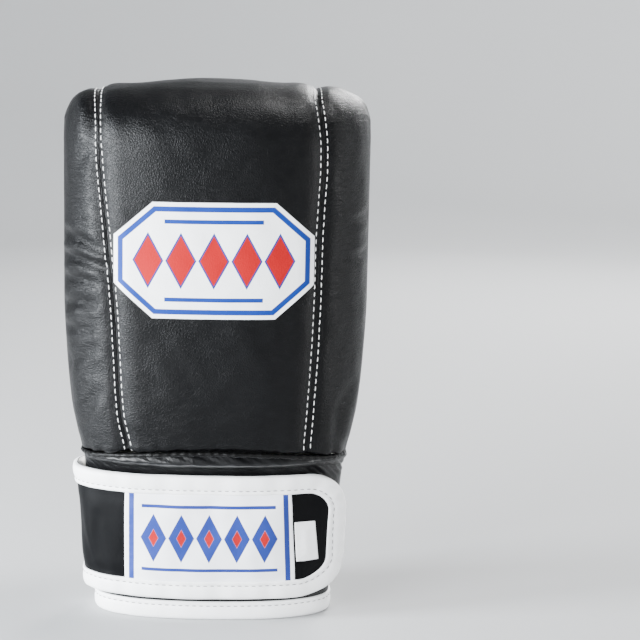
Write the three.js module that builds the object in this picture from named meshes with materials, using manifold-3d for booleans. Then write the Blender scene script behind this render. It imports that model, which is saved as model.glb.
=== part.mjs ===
import * as THREE from 'three';
import { mergeVertices } from 'three/addons/utils/BufferGeometryUtils.js';
import Module from 'manifold-3d';

const wasm = await Module();
wasm.setup();

// A right-hand bag glove that stands on its cuff, in millimetres.
// X runs to the little finger, Y to the palm, Z to the finger tips.

// Main sizes
const cuffHeight = 85;
const padHeight = 187;
const padWidth = 155;
const clearance = 0.3;

// Side seam, where the palm leather meets the pad
const seamForward = 9;
const palmInset = 1.7;
const leather = 1.6;

// Cuff oval
const cuffBackDepth = 26;
const cuffPalmDepth = 29;

// Padded back and the roll over the finger tips
const padDepth = 55;
const rollReach = 34;
const rollTopRadius = 32;
const rollLowerEdge = 65;
const rollSideRise = 31;
const padArch = 6;
const gatherDepth = 1.2;
const gatherPitch = 14;
const gatherRise = 3.5;

// Hollow for the hand inside the pad
const hollowWidth = 124;
const hollowBackDepth = 27;
const hollowTop = 28;
const lining = 1.2;

// Centre panel of the pad and its round end on the roll
const panelWidth = 113;
const panelShift = -3.5;
const panelTurn = 28;

// Piping between pad and cuff
const weltRadius = 1.2;

// Slit in the palm side
const slitTop = 153;
const slitWidth = 10.6;
const slitShift = -1.2;
const flapCorner = 15;

// Folded edge tape
const tapeWidth = 8.5;
const tapeLeaf = 0.8;

// Seam across the palm under the fingers
const fingerSeam = 67;
const tuck = 4;

// Thumb pocket
const thumbWidth = 53;
const thumbReach = 37;
const thumbWall = 2;
const thumbSeamWidth = 5;
const thumbSeamThickness = 2.6;

// Wrist strap
const strapHeight = 62;
const strapBottom = 13;
const strapThickness = 2.6;
const strapEndRadius = 15;
const strapLift = 1.6;
const sewnEnd = 52.4;

// What is sewn on the strap
const labelWidth = 82;
const labelShift = -2;
const labelThickness = 0.7;
const tagWidth = 10;
const tagHeight = 20;
const tagGap = 1.4;

// Width of the fastener patch under the free end of the strap
const patchWidth = 46;

// Sizes that follow from the ones above
const overallHeight = cuffHeight + padHeight;
const padHalf = padWidth / 2;
const palmHalf = padHalf - palmInset;
const rollCentre = overallHeight - rollTopRadius;
const shelfHeight = overallHeight - rollLowerEdge;
const fingerSeamHeight = overallHeight - fingerSeam;
const strapTop = strapBottom + strapHeight;
const strapInner = 2 * clearance + tapeLeaf;
const strapOuter = strapInner + strapThickness;
const far = 2 * overallHeight;

// Cuff leather and palm leather from the hem up.
// at: 0 hem, 1 lower edge of the pad, 2 top of the glove; half: share of the palm's half width;
// seam: share of seamForward; palm and back: shares of the cuff depths; round: 1 oval, 0 flat arch
const sleeveRows = [
  { at: 0.0, half: 0.79, seam: -0.44, palm: 1.0, back: 1.0, round: 1 },
  { at: 0.25, half: 0.806, seam: -0.44, palm: 1.0, back: 1.0, round: 1 },
  { at: 0.53, half: 0.832, seam: -0.44, palm: 1.0, back: 1.0, round: 1 },
  { at: 0.87, half: 0.872, seam: -0.4, palm: 0.95, back: 1.02, round: 1 },
  { at: 0.93, half: 0.88, seam: -0.3, palm: 0.9, back: 1.12, round: 1 },
  { at: 0.985, half: 0.888, seam: -0.1, palm: 0.83, back: 1.47, round: 0.9 },
  { at: 1.06, half: 0.915, seam: 0.3, palm: 0.7, back: 1.54, round: 0.6 },
  { at: 1.14, half: 0.952, seam: 0.65, palm: 0.6, back: 1.54, round: 0.2 },
  { at: 1.27, half: 0.985, seam: 0.95, palm: 0.47, back: 1.54, round: 0 },
  { at: 1.4, half: 1.0, seam: 1.0, palm: 0.38, back: 1.54, round: 0 },
  { at: 1.64, half: 1.0, seam: 1.0, palm: 0.22, back: 1.54, round: 0 },
  { at: 2.0, half: 1.0, seam: 1.0, palm: 0.18, back: 1.54, round: 0 },
];

// Outer form of the pad. half: share of its half width; depth: share of padDepth
const padRows = [
  { at: 0.94, half: 0.862, depth: 0.74 },
  { at: 1.0, half: 0.878, depth: 0.775 },
  { at: 1.05, half: 0.91, depth: 0.835 },
  { at: 1.13, half: 0.951, depth: 0.92 },
  { at: 1.27, half: 0.984, depth: 0.985 },
  { at: 1.42, half: 1.0, depth: 1.0 },
  { at: 1.7, half: 1.0, depth: 0.99 },
  { at: 2.0, half: 1.0, depth: 0.96 },
];

// Hollow for the hand. half: share of its half width; back: share of hollowBackDepth;
// palm: share of cuffPalmDepth; past the roll's lower edge it ends behind the palm leather
const hollowRows = [
  { at: 0.96, half: 1.0, back: 1.12, palm: 0.85 },
  { at: 1.05, half: 1.0, back: 1.1, palm: 0.8 },
  { at: 1.22, half: 1.0, back: 1.0, palm: 0.72 },
  { at: 1.6, half: 1.0, back: 0.96, palm: 0.62 },
  { at: 1.648, half: 1.0, back: 0.95, palm: 0.5 },
  { at: 1.675, half: 0.99, back: 0.93, palm: 0.18 },
  { at: 1.76, half: 0.96, back: 0.86, palm: 0.17 },
  { at: 1.81, half: 0.86, back: 0.7, palm: 0.15 },
  { at: 1.84, half: 0.7, back: 0.5, palm: 0.11 },
];

// Seams of the centre panel on the back, as shares of half the panel width
const panelRows = [
  { at: 0.9, left: -0.69, right: 0.87 },
  { at: 1.0, left: -0.71, right: 0.88 },
  { at: 1.13, left: -0.8, right: 0.92 },
  { at: 1.42, left: -0.86, right: 0.99 },
  { at: 1.6, left: -0.91, right: 1.01 },
  { at: 1.82, left: -0.97, right: 1.05 },
  { at: 2.0, left: -0.99, right: 0.98 },
  { at: 2.1, left: -0.99, right: 0.98 },
];

// Slit from the hem to its point. up: share of slitTop; left and right: shares of half its width
const slitRows = [
  { up: 0.0, left: 0.05, right: 0.3 },
  { up: 0.1, left: 0.05, right: 0.32 },
  { up: 0.3, left: 0.15, right: 0.75 },
  { up: 0.5, left: 0.4, right: 1.3 },
  { up: 0.65, left: 0.85, right: 1.25 },
  { up: 0.79, left: 1.12, right: 0.88 },
  { up: 0.9, left: 0.8, right: 0.6 },
  { up: 1.0, left: 0.0, right: 0.0 },
];

// Thumb pocket. centre: share of the palm's half width; half: share of half the thumb width;
// rear and front: shares of thumbReach, from the side seam
const thumbRows = [
  { at: 1.09, centre: -0.64, half: 0.5, rear: -0.2, front: 0.36 },
  { at: 1.12, centre: -0.645, half: 0.8, rear: -0.25, front: 0.52 },
  { at: 1.19, centre: -0.625, half: 0.96, rear: -0.25, front: 0.7 },
  { at: 1.3, centre: -0.575, half: 0.97, rear: -0.2, front: 0.88 },
  { at: 1.4, centre: -0.51, half: 0.96, rear: 0.15, front: 0.97 },
  { at: 1.48, centre: -0.435, half: 0.94, rear: 0.22, front: 1.0 },
  { at: 1.56, centre: -0.355, half: 0.89, rear: 0.25, front: 1.0 },
  { at: 1.61, centre: -0.305, half: 0.76, rear: 0.28, front: 0.94 },
  { at: 1.635, centre: -0.285, half: 0.56, rear: 0.34, front: 0.85 },
  { at: 1.648, centre: -0.275, half: 0.34, rear: 0.42, front: 0.75 },
];

// Crease between the two thumb pieces, as shares of the palm's half width and the pad height
const thumbCrease = { x: -0.047, up: 0.549, slope: 0.43 };

// Raised seam at the thumb's inner side. up: shares of the pad height; reach: its outer edge
const thumbSeamPlace = { low: 0.552, high: 0.632, reach: 0.035, forward: 0.62 };

const { abs, cos, sin, PI, sign } = Math;

function clamp01(value) {
  return Math.min(1, Math.max(0, value));
}

function mix(a, b, share) {
  return a + (b - a) * share;
}

function smooth(edge0, edge1, value) {
  const t = clamp01((value - edge0) / (edge1 - edge0));
  return t * t * (3 - 2 * t);
}

// Smooth value of a table's column, without overshoot between its rows
function track(rows, column, at, key = 'at') {
  const last = rows.length - 1;
  const place = Math.min(Math.max(at, rows[0][key]), rows[last][key]);
  let i = 0;
  while (i < last - 1 && rows[i + 1][key] < place) {
    i += 1;
  }
  const rise = (k) => (rows[k + 1][column] - rows[k][column]) / (rows[k + 1][key] - rows[k][key]);
  const slope = (k) => {
    if (k === 0 || k === last) {
      return k === 0 ? rise(0) : rise(last - 1);
    }
    const before = rise(k - 1);
    const after = rise(k);
    return before * after > 0 ? (2 * before * after) / (before + after) : 0;
  };
  const width = rows[i + 1][key] - rows[i][key];
  const t = (place - rows[i][key]) / width;
  const a = rows[i][column];
  const b = rows[i + 1][column];
  const curve = (2 * t - 3) * t * t;
  return a + (a - b) * curve + width * t * (1 - t) * ((1 - t) * slope(i) - t * slope(i + 1));
}

// Height of a table place, and the place of a height
function heightAt(at) {
  return at <= 1 ? at * cuffHeight : cuffHeight + (at - 1) * padHeight;
}

function placeOf(z) {
  return z <= cuffHeight ? z / cuffHeight : 1 + (z - cuffHeight) / padHeight;
}

function oval(s, power) {
  return (1 - Math.min(1, abs(s)) ** power) ** (1 / power);
}

// Closed solid from vertices and triangles, turned to face outward
function solid(points, triangles) {
  const geometry = new THREE.BufferGeometry();
  geometry.setAttribute('position', new THREE.Float32BufferAttribute(points.flatMap((p) => [p.x, p.y, p.z]), 3));
  geometry.setIndex(triangles.flat());
  return toManifold(geometry);
}

function toManifold(geometry) {
  geometry.deleteAttribute('normal');
  geometry.deleteAttribute('uv');
  const merged = mergeVertices(geometry, 1e-4);
  const positions = merged.attributes.position;
  const index = Uint32Array.from(merged.index.array);
  const a = new THREE.Vector3();
  const b = new THREE.Vector3();
  const c = new THREE.Vector3();
  let volume = 0;
  for (let i = 0; i < index.length; i += 3) {
    a.fromBufferAttribute(positions, index[i]);
    b.fromBufferAttribute(positions, index[i + 1]);
    c.fromBufferAttribute(positions, index[i + 2]);
    volume += a.dot(b.cross(c));
  }
  if (volume < 0) {
    for (let i = 0; i < index.length; i += 3) {
      [index[i], index[i + 1]] = [index[i + 1], index[i]];
    }
  }
  const vertProperties = Float32Array.from(positions.array);
  return new wasm.Manifold(new wasm.Mesh({ numProp: 3, vertProperties, triVerts: index }));
}

// Solid through closed rings of equal length, with flat lids that are cut in the given plane
function loft(rings, flat) {
  const count = rings[0].length;
  const points = rings.flat();
  const triangles = [];
  for (let j = 0; j < rings.length - 1; j += 1) {
    for (let i = 0; i < count; i += 1) {
      const next = (i + 1) % count;
      const a = j * count + i;
      const b = j * count + next;
      triangles.push([a, b, b + count], [a, b + count, a + count]);
    }
  }
  const lid = (ring, start, turned) => {
    const outline = ring.map(flat);
    for (const [a, b, c] of THREE.ShapeUtils.triangulateShape(outline, [])) {
      triangles.push(turned ? [start + a, start + c, start + b] : [start + a, start + b, start + c]);
    }
  };
  const clockwise = THREE.ShapeUtils.isClockWise(rings[0].map(flat));
  lid(rings[0], 0, !clockwise);
  lid(rings[rings.length - 1], (rings.length - 1) * count, clockwise);
  return solid(points, triangles);
}

const seenFromAbove = (p) => new THREE.Vector2(p.x, p.y);
const seenFromSide = (p) => new THREE.Vector2(p.y, p.z);

// Solid between two faces of a sheet that are given by place(column, row, face)
function sheet(columns, rows, place) {
  const points = [];
  const triangles = [];
  const layer = (columns + 1) * (rows + 1);
  for (let face = 0; face < 2; face += 1) {
    for (let j = 0; j <= rows; j += 1) {
      for (let i = 0; i <= columns; i += 1) {
        points.push(place(i / columns, j / rows, face));
      }
    }
  }
  const at = (i, j, face) => face * layer + j * (columns + 1) + i;
  const quad = (a, b, c, d) => triangles.push([a, b, c], [a, c, d]);
  for (let j = 0; j < rows; j += 1) {
    for (let i = 0; i < columns; i += 1) {
      quad(at(i, j, 0), at(i + 1, j, 0), at(i + 1, j + 1, 0), at(i, j + 1, 0));
      quad(at(i, j, 1), at(i, j + 1, 1), at(i + 1, j + 1, 1), at(i + 1, j, 1));
    }
  }
  for (let i = 0; i < columns; i += 1) {
    quad(at(i, 0, 0), at(i, 0, 1), at(i + 1, 0, 1), at(i + 1, 0, 0));
    quad(at(i, rows, 0), at(i + 1, rows, 0), at(i + 1, rows, 1), at(i, rows, 1));
  }
  for (let j = 0; j < rows; j += 1) {
    quad(at(0, j, 0), at(0, j + 1, 0), at(0, j + 1, 1), at(0, j, 1));
    quad(at(columns, j, 0), at(columns, j, 1), at(columns, j + 1, 1), at(columns, j + 1, 0));
  }
  return solid(points, triangles);
}

// Prism of an outline in the XZ plane, between two depths
function prism(outline, front, back) {
  const shape = new THREE.Shape(outline.map(([x, z]) => new THREE.Vector2(x, z)));
  const geometry = new THREE.ExtrudeGeometry(shape, { depth: back - front, bevelEnabled: false });
  geometry.rotateX(PI / 2);
  geometry.translate(0, back, 0);
  return toManifold(geometry);
}

function slab(low, high) {
  return prism([[-far, low], [far, low], [far, high], [-far, high]], -far, far);
}

// Places across one side of the sleeve, from edge to edge, closer together at the edges
function acrossShare(t) {
  return mix(cos(PI * t), 1 - 2 * t, 0.3);
}

// Point of the sleeve's outer face. t: 0 to 0.5 over the palm from +X, 0.5 to 1 back over the hand
function sleevePoint(t, z) {
  const at = placeOf(z);
  const half = palmHalf * track(sleeveRows, 'half', at);
  const seam = seamForward * track(sleeveRows, 'seam', at);
  if (t <= 0.5) {
    const s = acrossShare(2 * t);
    const rise = cuffPalmDepth * track(sleeveRows, 'palm', at);
    const arch = 1 - abs(s) ** 2.4;
    return new THREE.Vector3(half * s, seam + rise * mix(arch, oval(s, 2.3), track(sleeveRows, 'round', at)), z);
  }
  const s = -acrossShare(2 * t - 1);
  const depth = cuffBackDepth * track(sleeveRows, 'back', at);
  return new THREE.Vector3(half * s, seam - depth * oval(s, 2.4), z);
}

// Wrist gathers of the cuff leather, only above the strap
function wristGather(t, z) {
  const share = smooth(strapTop + tapeLeaf + 1.7, strapTop + tapeLeaf + 1.7 + gatherRise, z) * (t > 0.5 ? 1 : 0) * sin(PI * clamp01(2 * t - 1));
  return share * 0.9 * cos(2 * PI * 5 * (2 * t - 1)) * (1 + 0.4 * cos(2 * PI * 3.3 * t));
}

// The same point moved outward by an offset, square to the outline at its height
function sleeveOffset(t, z, offset) {
  const step = 0.004;
  const before = sleevePoint((t - step + 1) % 1, z);
  const after = sleevePoint((t + step) % 1, z);
  const point = sleevePoint(t, z);
  const outward = new THREE.Vector3(after.y - before.y, before.x - after.x, 0).normalize();
  return point.addScaledVector(outward, offset + wristGather(t, z));
}

const palmColumns = 12;
const backColumns = 18;
const ringPlaces = [];
for (let i = 0; i < palmColumns; i += 1) {
  ringPlaces.push((0.5 * i) / palmColumns);
}
for (let i = 0; i < backColumns; i += 1) {
  ringPlaces.push(0.5 + (0.5 * i) / backColumns);
}

// Heights of the sleeve's rings, closer together where the cuff turns into the pad
const sleeveHeights = [];
for (const at of [-0.1, 0.3, 0.6, 0.87, 0.91, 0.95, 1, 1.06, 1.13, 1.2]) {
  sleeveHeights.push(heightAt(at));
}
for (let at = 1.3; at < 1.9; at += 0.11) {
  sleeveHeights.push(heightAt(at));
}

function sleeve(offset) {
  return loft(sleeveHeights.map((z) => ringPlaces.map((t) => sleeveOffset(t, z, offset))), seenFromAbove);
}

// All that lies on the palm's side of the side seam, moved toward the palm by a shift
function palmSide(shift) {
  const rings = sleeveHeights.map((z) => {
    const y = seamForward * track(sleeveRows, 'seam', placeOf(z)) + shift;
    return [[-far, y], [far, y], [far, far], [-far, far]].map(([px, py]) => new THREE.Vector3(px, py, z));
  });
  return loft(rings, seenFromAbove);
}

// Strip of cuff leather that comes round to the palm at the little finger's side
function sideStrip(shift) {
  const inner = sewnEnd - shift;
  const outline = [
    [inner, -far],
    [inner, 0.86 * cuffHeight],
    [inner + 0.1 * sewnEnd, 0.9 * cuffHeight],
    [inner + 0.24 * sewnEnd, 0.94 * cuffHeight],
    [far, 0.965 * cuffHeight],
    [far, -far],
  ];
  return prism(outline, -far, far);
}

// Lower edge of the roll, its gathers, and all that lies below it
function rollEdge(x) {
  const share = Math.min(1, abs(x) / (0.83 * padHalf));
  return shelfHeight + rollSideRise * share ** 2.8;
}

function belowRoll(shift, gathered) {
  const outline = [[-far, -far], [far, -far], [far, rollEdge(far) + shift]];
  const steps = gathered ? 32 : 12;
  for (let i = 0; i <= steps; i += 1) {
    const x = mix(padHalf, -padHalf, i / steps);
    const wave = gathered ? gatherDepth * abs(sin((PI * x) / gatherPitch)) : 0;
    outline.push([x, rollEdge(x) + shift + wave * (1 - (x / padHalf) ** 2)]);
  }
  outline.push([-far, rollEdge(far) + shift]);
  return prism(outline, -far, far);
}

// Lower edge of the pad, which rises a little in the middle
const padFootHalf = padHalf * track(padRows, 'half', 1);

function padBottom(x) {
  return cuffHeight + padArch * (1 - Math.min(1, abs(x) / padFootHalf) ** 2);
}

// Outer form of the pad, through profiles from side to side
function padForm() {
  const stations = 20;
  const backSteps = 6;
  const topSteps = 9;
  const underSteps = 3;
  const rings = [];
  for (let i = 0; i <= stations; i += 1) {
    const u = sin(mix(-87.5, 87.5, i / stations) * (PI / 180));
    const seam = (z) => seamForward * track(sleeveRows, 'seam', placeOf(z));
    const backFace = (z) => seam(z) - padDepth * track(padRows, 'depth', placeOf(z)) * oval(u, 2.6);
    const rollFace = seamForward + rollReach * oval(u, 3);
    const bottom = padBottom(u * padFootHalf);
    const edge = Math.min(rollEdge(u * padHalf), rollCentre - 1);
    const edgeFace = Math.min(seamForward + 0.3 * rollReach, mix(seamForward, rollFace, 0.7));
    const profile = [];
    for (let k = 0; k < backSteps; k += 1) {
      const z = mix(bottom, rollCentre, k / backSteps);
      profile.push([backFace(z), z]);
    }
    const middle = (backFace(rollCentre) + rollFace) / 2;
    const halfDepth = (rollFace - backFace(rollCentre)) / 2;
    for (let k = 0; k <= topSteps; k += 1) {
      const turn = PI * (1 - k / topSteps);
      const side = sign(cos(turn)) * abs(cos(turn)) ** 0.9;
      profile.push([middle + halfDepth * side, rollCentre + rollTopRadius * oval(u, 4.5) * sin(turn) ** 0.9]);
    }
    for (let k = 1; k <= underSteps; k += 1) {
      const turn = (PI / 2) * (k / underSteps);
      profile.push([mix(edgeFace, rollFace, cos(turn)), mix(rollCentre, edge, sin(turn))]);
    }
    profile.push([edgeFace, bottom]);
    rings.push(profile.map(([y, z]) => new THREE.Vector3(u * padHalf * track(padRows, 'half', placeOf(z)), y, z)));
  }
  return loft(rings, seenFromSide);
}

// Hollow for the hand, moved outward by an offset
function hollow(offset) {
  const rings = [];
  const heights = [0.96, 1.05, 1.22, 1.45, 1.648, 1.675, 1.76, 1.81, 1.84];
  const top = overallHeight - hollowTop;
  for (const at of heights) {
    const z = Math.min(heightAt(at), top) + (at >= 1.84 ? offset : 0);
    const seam = seamForward * track(sleeveRows, 'seam', at);
    const half = (hollowWidth / 2) * track(hollowRows, 'half', at);
    const back = hollowBackDepth * track(hollowRows, 'back', at);
    const palm = cuffPalmDepth * track(hollowRows, 'palm', at);
    const ring = [];
    const steps = 24;
    for (let i = 0; i < steps; i += 1) {
      const turn = (2 * PI * i) / steps;
      const s = sign(cos(turn)) * abs(cos(turn)) ** 0.85;
      const c = sign(sin(turn)) * abs(sin(turn)) ** 0.85;
      const depth = (c > 0 ? palm : back) + offset;
      ring.push(new THREE.Vector3((half + offset) * s, seam + depth * c, z));
    }
    rings.push(ring);
  }
  return loft(rings, seenFromAbove);
}

// Region of the centre panel: between its seams on the back, and a round end on the roll
function panelRegion(grow) {
  const half = panelWidth / 2;
  const left = [];
  const right = [];
  const steps = 14;
  for (let i = 0; i <= steps; i += 1) {
    const at = mix(0.9, 2.1, i / steps);
    left.push([panelShift + half * track(panelRows, 'left', at) - grow, heightAt(at)]);
    right.push([panelShift + half * track(panelRows, 'right', at) + grow, heightAt(at)]);
  }
  const backPart = prism([...right, ...left.reverse()], -far, 0);
  const leftEdge = panelShift + half * track(panelRows, 'left', 2) - grow;
  const rightEdge = panelShift + half * track(panelRows, 'right', 2) + grow;
  const arc = [[leftEdge, heightAt(2.1)]];
  for (let i = 0; i <= 18; i += 1) {
    const turn = PI * (1 - i / 18);
    const side = sign(cos(turn)) * abs(cos(turn)) ** 0.8;
    const x = mix(leftEdge, rightEdge, (side + 1) / 2);
    arc.push([x, overallHeight - (panelTurn + grow) * sin(turn) ** 0.8]);
  }
  arc.push([rightEdge, heightAt(2.1)]);
  return backPart.add(prism(arc.reverse(), -1, far));
}

// Open slit and all below the hem, grown into the leather by a margin
function slitRegion(margin) {
  const edge = (side) => {
    const line = [];
    for (let i = 0; i <= 9; i += 1) {
      const up = mix(flapCorner / slitTop, 1, i / 9);
      const x = slitShift + side * (slitWidth / 2) * track(slitRows, side < 0 ? 'left' : 'right', up, 'up');
      line.push(new THREE.Vector2(x, up * slitTop));
    }
    return line;
  };
  const outline = [[-far, -far], [-far, margin]];
  const corner = flapCorner - margin;
  const leftLine = edge(-1);
  const rightLine = edge(1);
  for (let i = 0; i <= 4; i += 1) {
    const turn = (PI / 2) * (i / 4);
    outline.push([leftLine[0].x - flapCorner + corner * sin(turn), flapCorner - corner * cos(turn)]);
  }
  const push = (line, side, i) => {
    const a = line[Math.max(0, i - 1)];
    const b = line[Math.min(line.length - 1, i + 1)];
    const along = new THREE.Vector2().subVectors(b, a).normalize();
    outline.push([line[i].x + side * margin * along.y, line[i].y - side * margin * along.x]);
  };
  for (let i = 1; i < leftLine.length; i += 1) {
    push(leftLine, -1, i);
  }
  if (margin > 1) {
    const point = leftLine[leftLine.length - 1];
    for (let i = 1; i < 6; i += 1) {
      const turn = mix(0.94 * PI, 0.06 * PI, i / 6);
      outline.push([point.x + margin * cos(turn), point.y + margin * sin(turn)]);
    }
  }
  for (let i = rightLine.length - 1; i > 0; i -= 1) {
    push(rightLine, 1, i);
  }
  for (let i = 4; i >= 0; i -= 1) {
    const turn = (PI / 2) * (i / 4);
    outline.push([rightLine[0].x + flapCorner - corner * sin(turn), flapCorner - corner * cos(turn)]);
  }
  outline.push([far, margin], [far, -far]);
  return prism(outline, 0, far);
}

// Thumb pocket, moved outward by an offset
function thumb(offset) {
  const rings = [];
  const steps = 9;
  const around = 18;
  for (let j = 0; j <= steps; j += 1) {
    const at = mix(thumbRows[0].at, thumbRows[thumbRows.length - 1].at, 1 - (1 - j / steps) ** 1.3);
    const ends = offset * (smooth(0.9, 1, j / steps) - (1 - smooth(0, 0.1, j / steps)));
    const z = heightAt(at) + ends;
    const seam = seamForward * track(sleeveRows, 'seam', at);
    const rear = seam + thumbReach * track(thumbRows, 'rear', at) - offset;
    const front = seam + thumbReach * track(thumbRows, 'front', at) + offset;
    const half = (thumbWidth / 2) * track(thumbRows, 'half', at) + offset;
    const centre = palmHalf * track(thumbRows, 'centre', at);
    const ring = [];
    for (let i = 0; i < around; i += 1) {
      const turn = (2 * PI * i) / around;
      const s = sign(cos(turn)) * abs(cos(turn)) ** 0.9;
      const c = sign(sin(turn)) * abs(sin(turn)) ** 0.9;
      ring.push(new THREE.Vector3(centre + half * s, mix(rear, front, (c + 1) / 2), z));
    }
    rings.push(ring);
  }
  return loft(rings, seenFromAbove);
}

function aboveCrease(shift) {
  const x0 = thumbCrease.x * palmHalf;
  const line = (x) => cuffHeight + thumbCrease.up * padHeight + shift + thumbCrease.slope * (x - x0);
  return prism([[-padWidth, line(-padWidth)], [padWidth, line(padWidth)], [padWidth, far], [-padWidth, far]], -far, far);
}

// Share of the round trip where the strap starts on the palm
function strapStart() {
  const half = palmHalf * track(sleeveRows, 'half', placeOf(strapTop));
  let t = 0;
  while (acrossShare(2 * t) > sewnEnd / half) {
    t += 0.002;
  }
  return t;
}

// Places along the strap: those of the cuff, and more of them at its rounded free end
const strapFrom = strapStart();
const strapTo = 0.985;
const strapPlaces = ringPlaces.filter((t) => t > strapFrom && t < 0.9);
for (let i = 0; i <= 6; i += 1) {
  strapPlaces.push(mix(0.91, strapTo, i / 6));
}

// Sheet that follows the strap: outline grown by a margin, faces at two offsets from the cuff
function strapSheet(margin, inner, outer, startShift = 0) {
  const trip = PI * palmHalf;
  const end = strapTo + margin / trip;
  const places = [strapFrom + startShift, ...strapPlaces.filter((t) => t < end - 0.001), end];
  return sheet(places.length - 1, 2, (across, up, face) => {
    const t = places[Math.round(across * (places.length - 1))];
    const toEnd = (end - t) * trip;
    const radius = strapEndRadius + margin;
    const inset = toEnd < radius ? radius - Math.sqrt(radius ** 2 - (radius - toEnd) ** 2) : 0;
    const low = strapBottom - margin + inset;
    const high = strapTop + margin - inset;
    const lift = strapLift * smooth(0.9, 1, t) + (tapeLeaf + clearance) * (1 - smooth(0.09, 0.16, abs(t - 0.25)));
    return sleeveOffset(t, mix(low, high, up), lift + (face === 0 ? inner : outer));
  });
}

// Share of the round trip at a place along X on the back
function backShare(x, z) {
  const goal = x / (palmHalf * track(sleeveRows, 'half', placeOf(z)));
  let below = 0.5;
  let above = 1;
  for (let i = 0; i < 30; i += 1) {
    const middle = (below + above) / 2;
    if (-acrossShare(2 * middle - 1) < goal) {
      below = middle;
    } else {
      above = middle;
    }
  }
  return below;
}

// Thin sheet on the back of the cuff or strap, between two places along X and two heights
function strapPlate(left, right, low, high, inner, outer) {
  const first = Math.max(backShare(left, low), backShare(left, high));
  const last = Math.min(backShare(right, low), backShare(right, high));
  const between = [...ringPlaces, ...strapPlaces].filter((t) => t > first && t < last).sort((a, b) => a - b);
  const inside = between.filter((t, i) => i === 0 || t - between[i - 1] > 0.002);
  const columns = inside.length + 1;
  return sheet(columns, 1, (across, up, face) => {
    const z = mix(low, high, up);
    const column = Math.round(across * columns);
    let t = inside[column - 1];
    if (column === 0) {
      t = backShare(left, z);
    } else if (column === columns) {
      t = backShare(right, z);
    }
    return sleeveOffset(t, z, strapLift * smooth(0.9, 1, t) + (face === 0 ? inner : outer));
  });
}

// Piping along the lower edge of the pad
const weltSteps = 24;

function weltForm() {
  const path = [];
  for (let i = 0; i <= weltSteps; i += 1) {
    const u = sin(mix(-84, 84, i / weltSteps) * (PI / 180));
    const z = padBottom(u * padFootHalf) - clearance - weltRadius;
    const at = placeOf(padBottom(u * padFootHalf));
    const half = padHalf * track(padRows, 'half', at) - weltRadius;
    const depth = padDepth * track(padRows, 'depth', at) - weltRadius;
    path.push(new THREE.Vector3(u * half, seamForward * track(sleeveRows, 'seam', at) - depth * oval(u, 2.6), z));
  }
  const rings = path.map((point, i) => {
    const along = new THREE.Vector3().subVectors(path[Math.min(i + 1, weltSteps)], path[Math.max(i - 1, 0)]);
    const side = new THREE.Vector3(0, 0, 1).cross(along).normalize();
    const ring = [];
    for (let k = 0; k < 6; k += 1) {
      const turn = (2 * PI * k) / 6;
      ring.push(
        point.clone().addScaledVector(side, weltRadius * cos(turn)).add(new THREE.Vector3(0, 0, weltRadius * sin(turn))),
      );
    }
    return ring;
  });
  return loft(rings, seenFromSide);
}

function belowPad(shift) {
  const outline = [[-far, -far], [far, -far], [far, padBottom(far) + shift]];
  for (let i = 0; i <= 24; i += 1) {
    const x = mix(padFootHalf, -padFootHalf, i / 24);
    outline.push([x, padBottom(x) + shift]);
  }
  outline.push([-far, padBottom(far) + shift]);
  return prism(outline, -far, far);
}

// Colours and finishes
const blackLeather = { color: 0x17181b, roughness: 0.42, metalness: 0 };
const whiteLeather = { color: 0xe9e6df, roughness: 0.55, metalness: 0 };
const whiteTape = { color: 0xf6f6f4, roughness: 0.5, metalness: 0 };
const blackCloth = { color: 0x0c0c0e, roughness: 0.9, metalness: 0 };
const whiteSatin = { color: 0xf2f2f5, roughness: 0.4, metalness: 0 };

const glove = new THREE.Group();

function place(name, form, finish) {
  const { numProp, vertProperties, triVerts } = form.getMesh();
  const points = [];
  for (let i = 0; i < vertProperties.length; i += numProp) {
    points.push(vertProperties[i], vertProperties[i + 1], vertProperties[i + 2]);
  }
  const geometry = new THREE.BufferGeometry();
  geometry.setAttribute('position', new THREE.Float32BufferAttribute(points, 3));
  geometry.setIndex(Array.from(triVerts));
  geometry.computeVertexNormals();
  const mesh = new THREE.Mesh(geometry, new THREE.MeshStandardMaterial(finish));
  mesh.name = name;
  glove.add(mesh);
}

// Padded back in two panels
const clearInner = sleeve(-leather - clearance);
const palmCut = palmSide(-clearance).intersect(belowRoll(0, true)).subtract(clearInner);
const tuckCut = sleeve(clearance)
  .subtract(clearInner)
  .intersect(palmSide(-clearance))
  .intersect(belowRoll(tuck + clearance, false));
const pad = padForm().subtract(palmCut).subtract(tuckCut).subtract(hollow(0));
place('centre_panel', pad.intersect(panelRegion(-clearance / 2)), blackLeather);
place('surround_panel', pad.subtract(panelRegion(clearance / 2)), blackLeather);
place('pad_welt', weltForm(), blackLeather);

// Lining of the hollow behind the hand
const liningForm = hollow(-clearance)
  .subtract(hollow(-clearance - lining))
  .subtract(palmSide(-1))
  .subtract(belowPad(1));
place('hand_lining', liningForm, blackCloth);

// Cuff and palm leather
const skin = sleeve(0).subtract(sleeve(-leather));
const hemCut = slab(-far, tapeLeaf + clearance);
const cuffForm = skin
  .subtract(palmSide(-clearance / 2).subtract(sideStrip(-clearance / 2)))
  .intersect(belowPad(-2 * weltRadius - 2 * clearance))
  .subtract(hemCut);
place('cuff_back', cuffForm, blackLeather);

const palmForm = skin
  .intersect(palmSide(clearance / 2))
  .subtract(sideStrip(clearance / 2))
  .intersect(belowRoll(tuck, false))
  .subtract(slitRegion(tapeLeaf + clearance))
  .subtract(hemCut)
  .subtract(thumb(-thumbWall));
place('palm_panel', palmForm.intersect(slab(-1, fingerSeamHeight - clearance / 2)), whiteLeather);
place('palm_finger_panel', palmForm.intersect(slab(fingerSeamHeight + clearance / 2, far)), whiteLeather);

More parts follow.
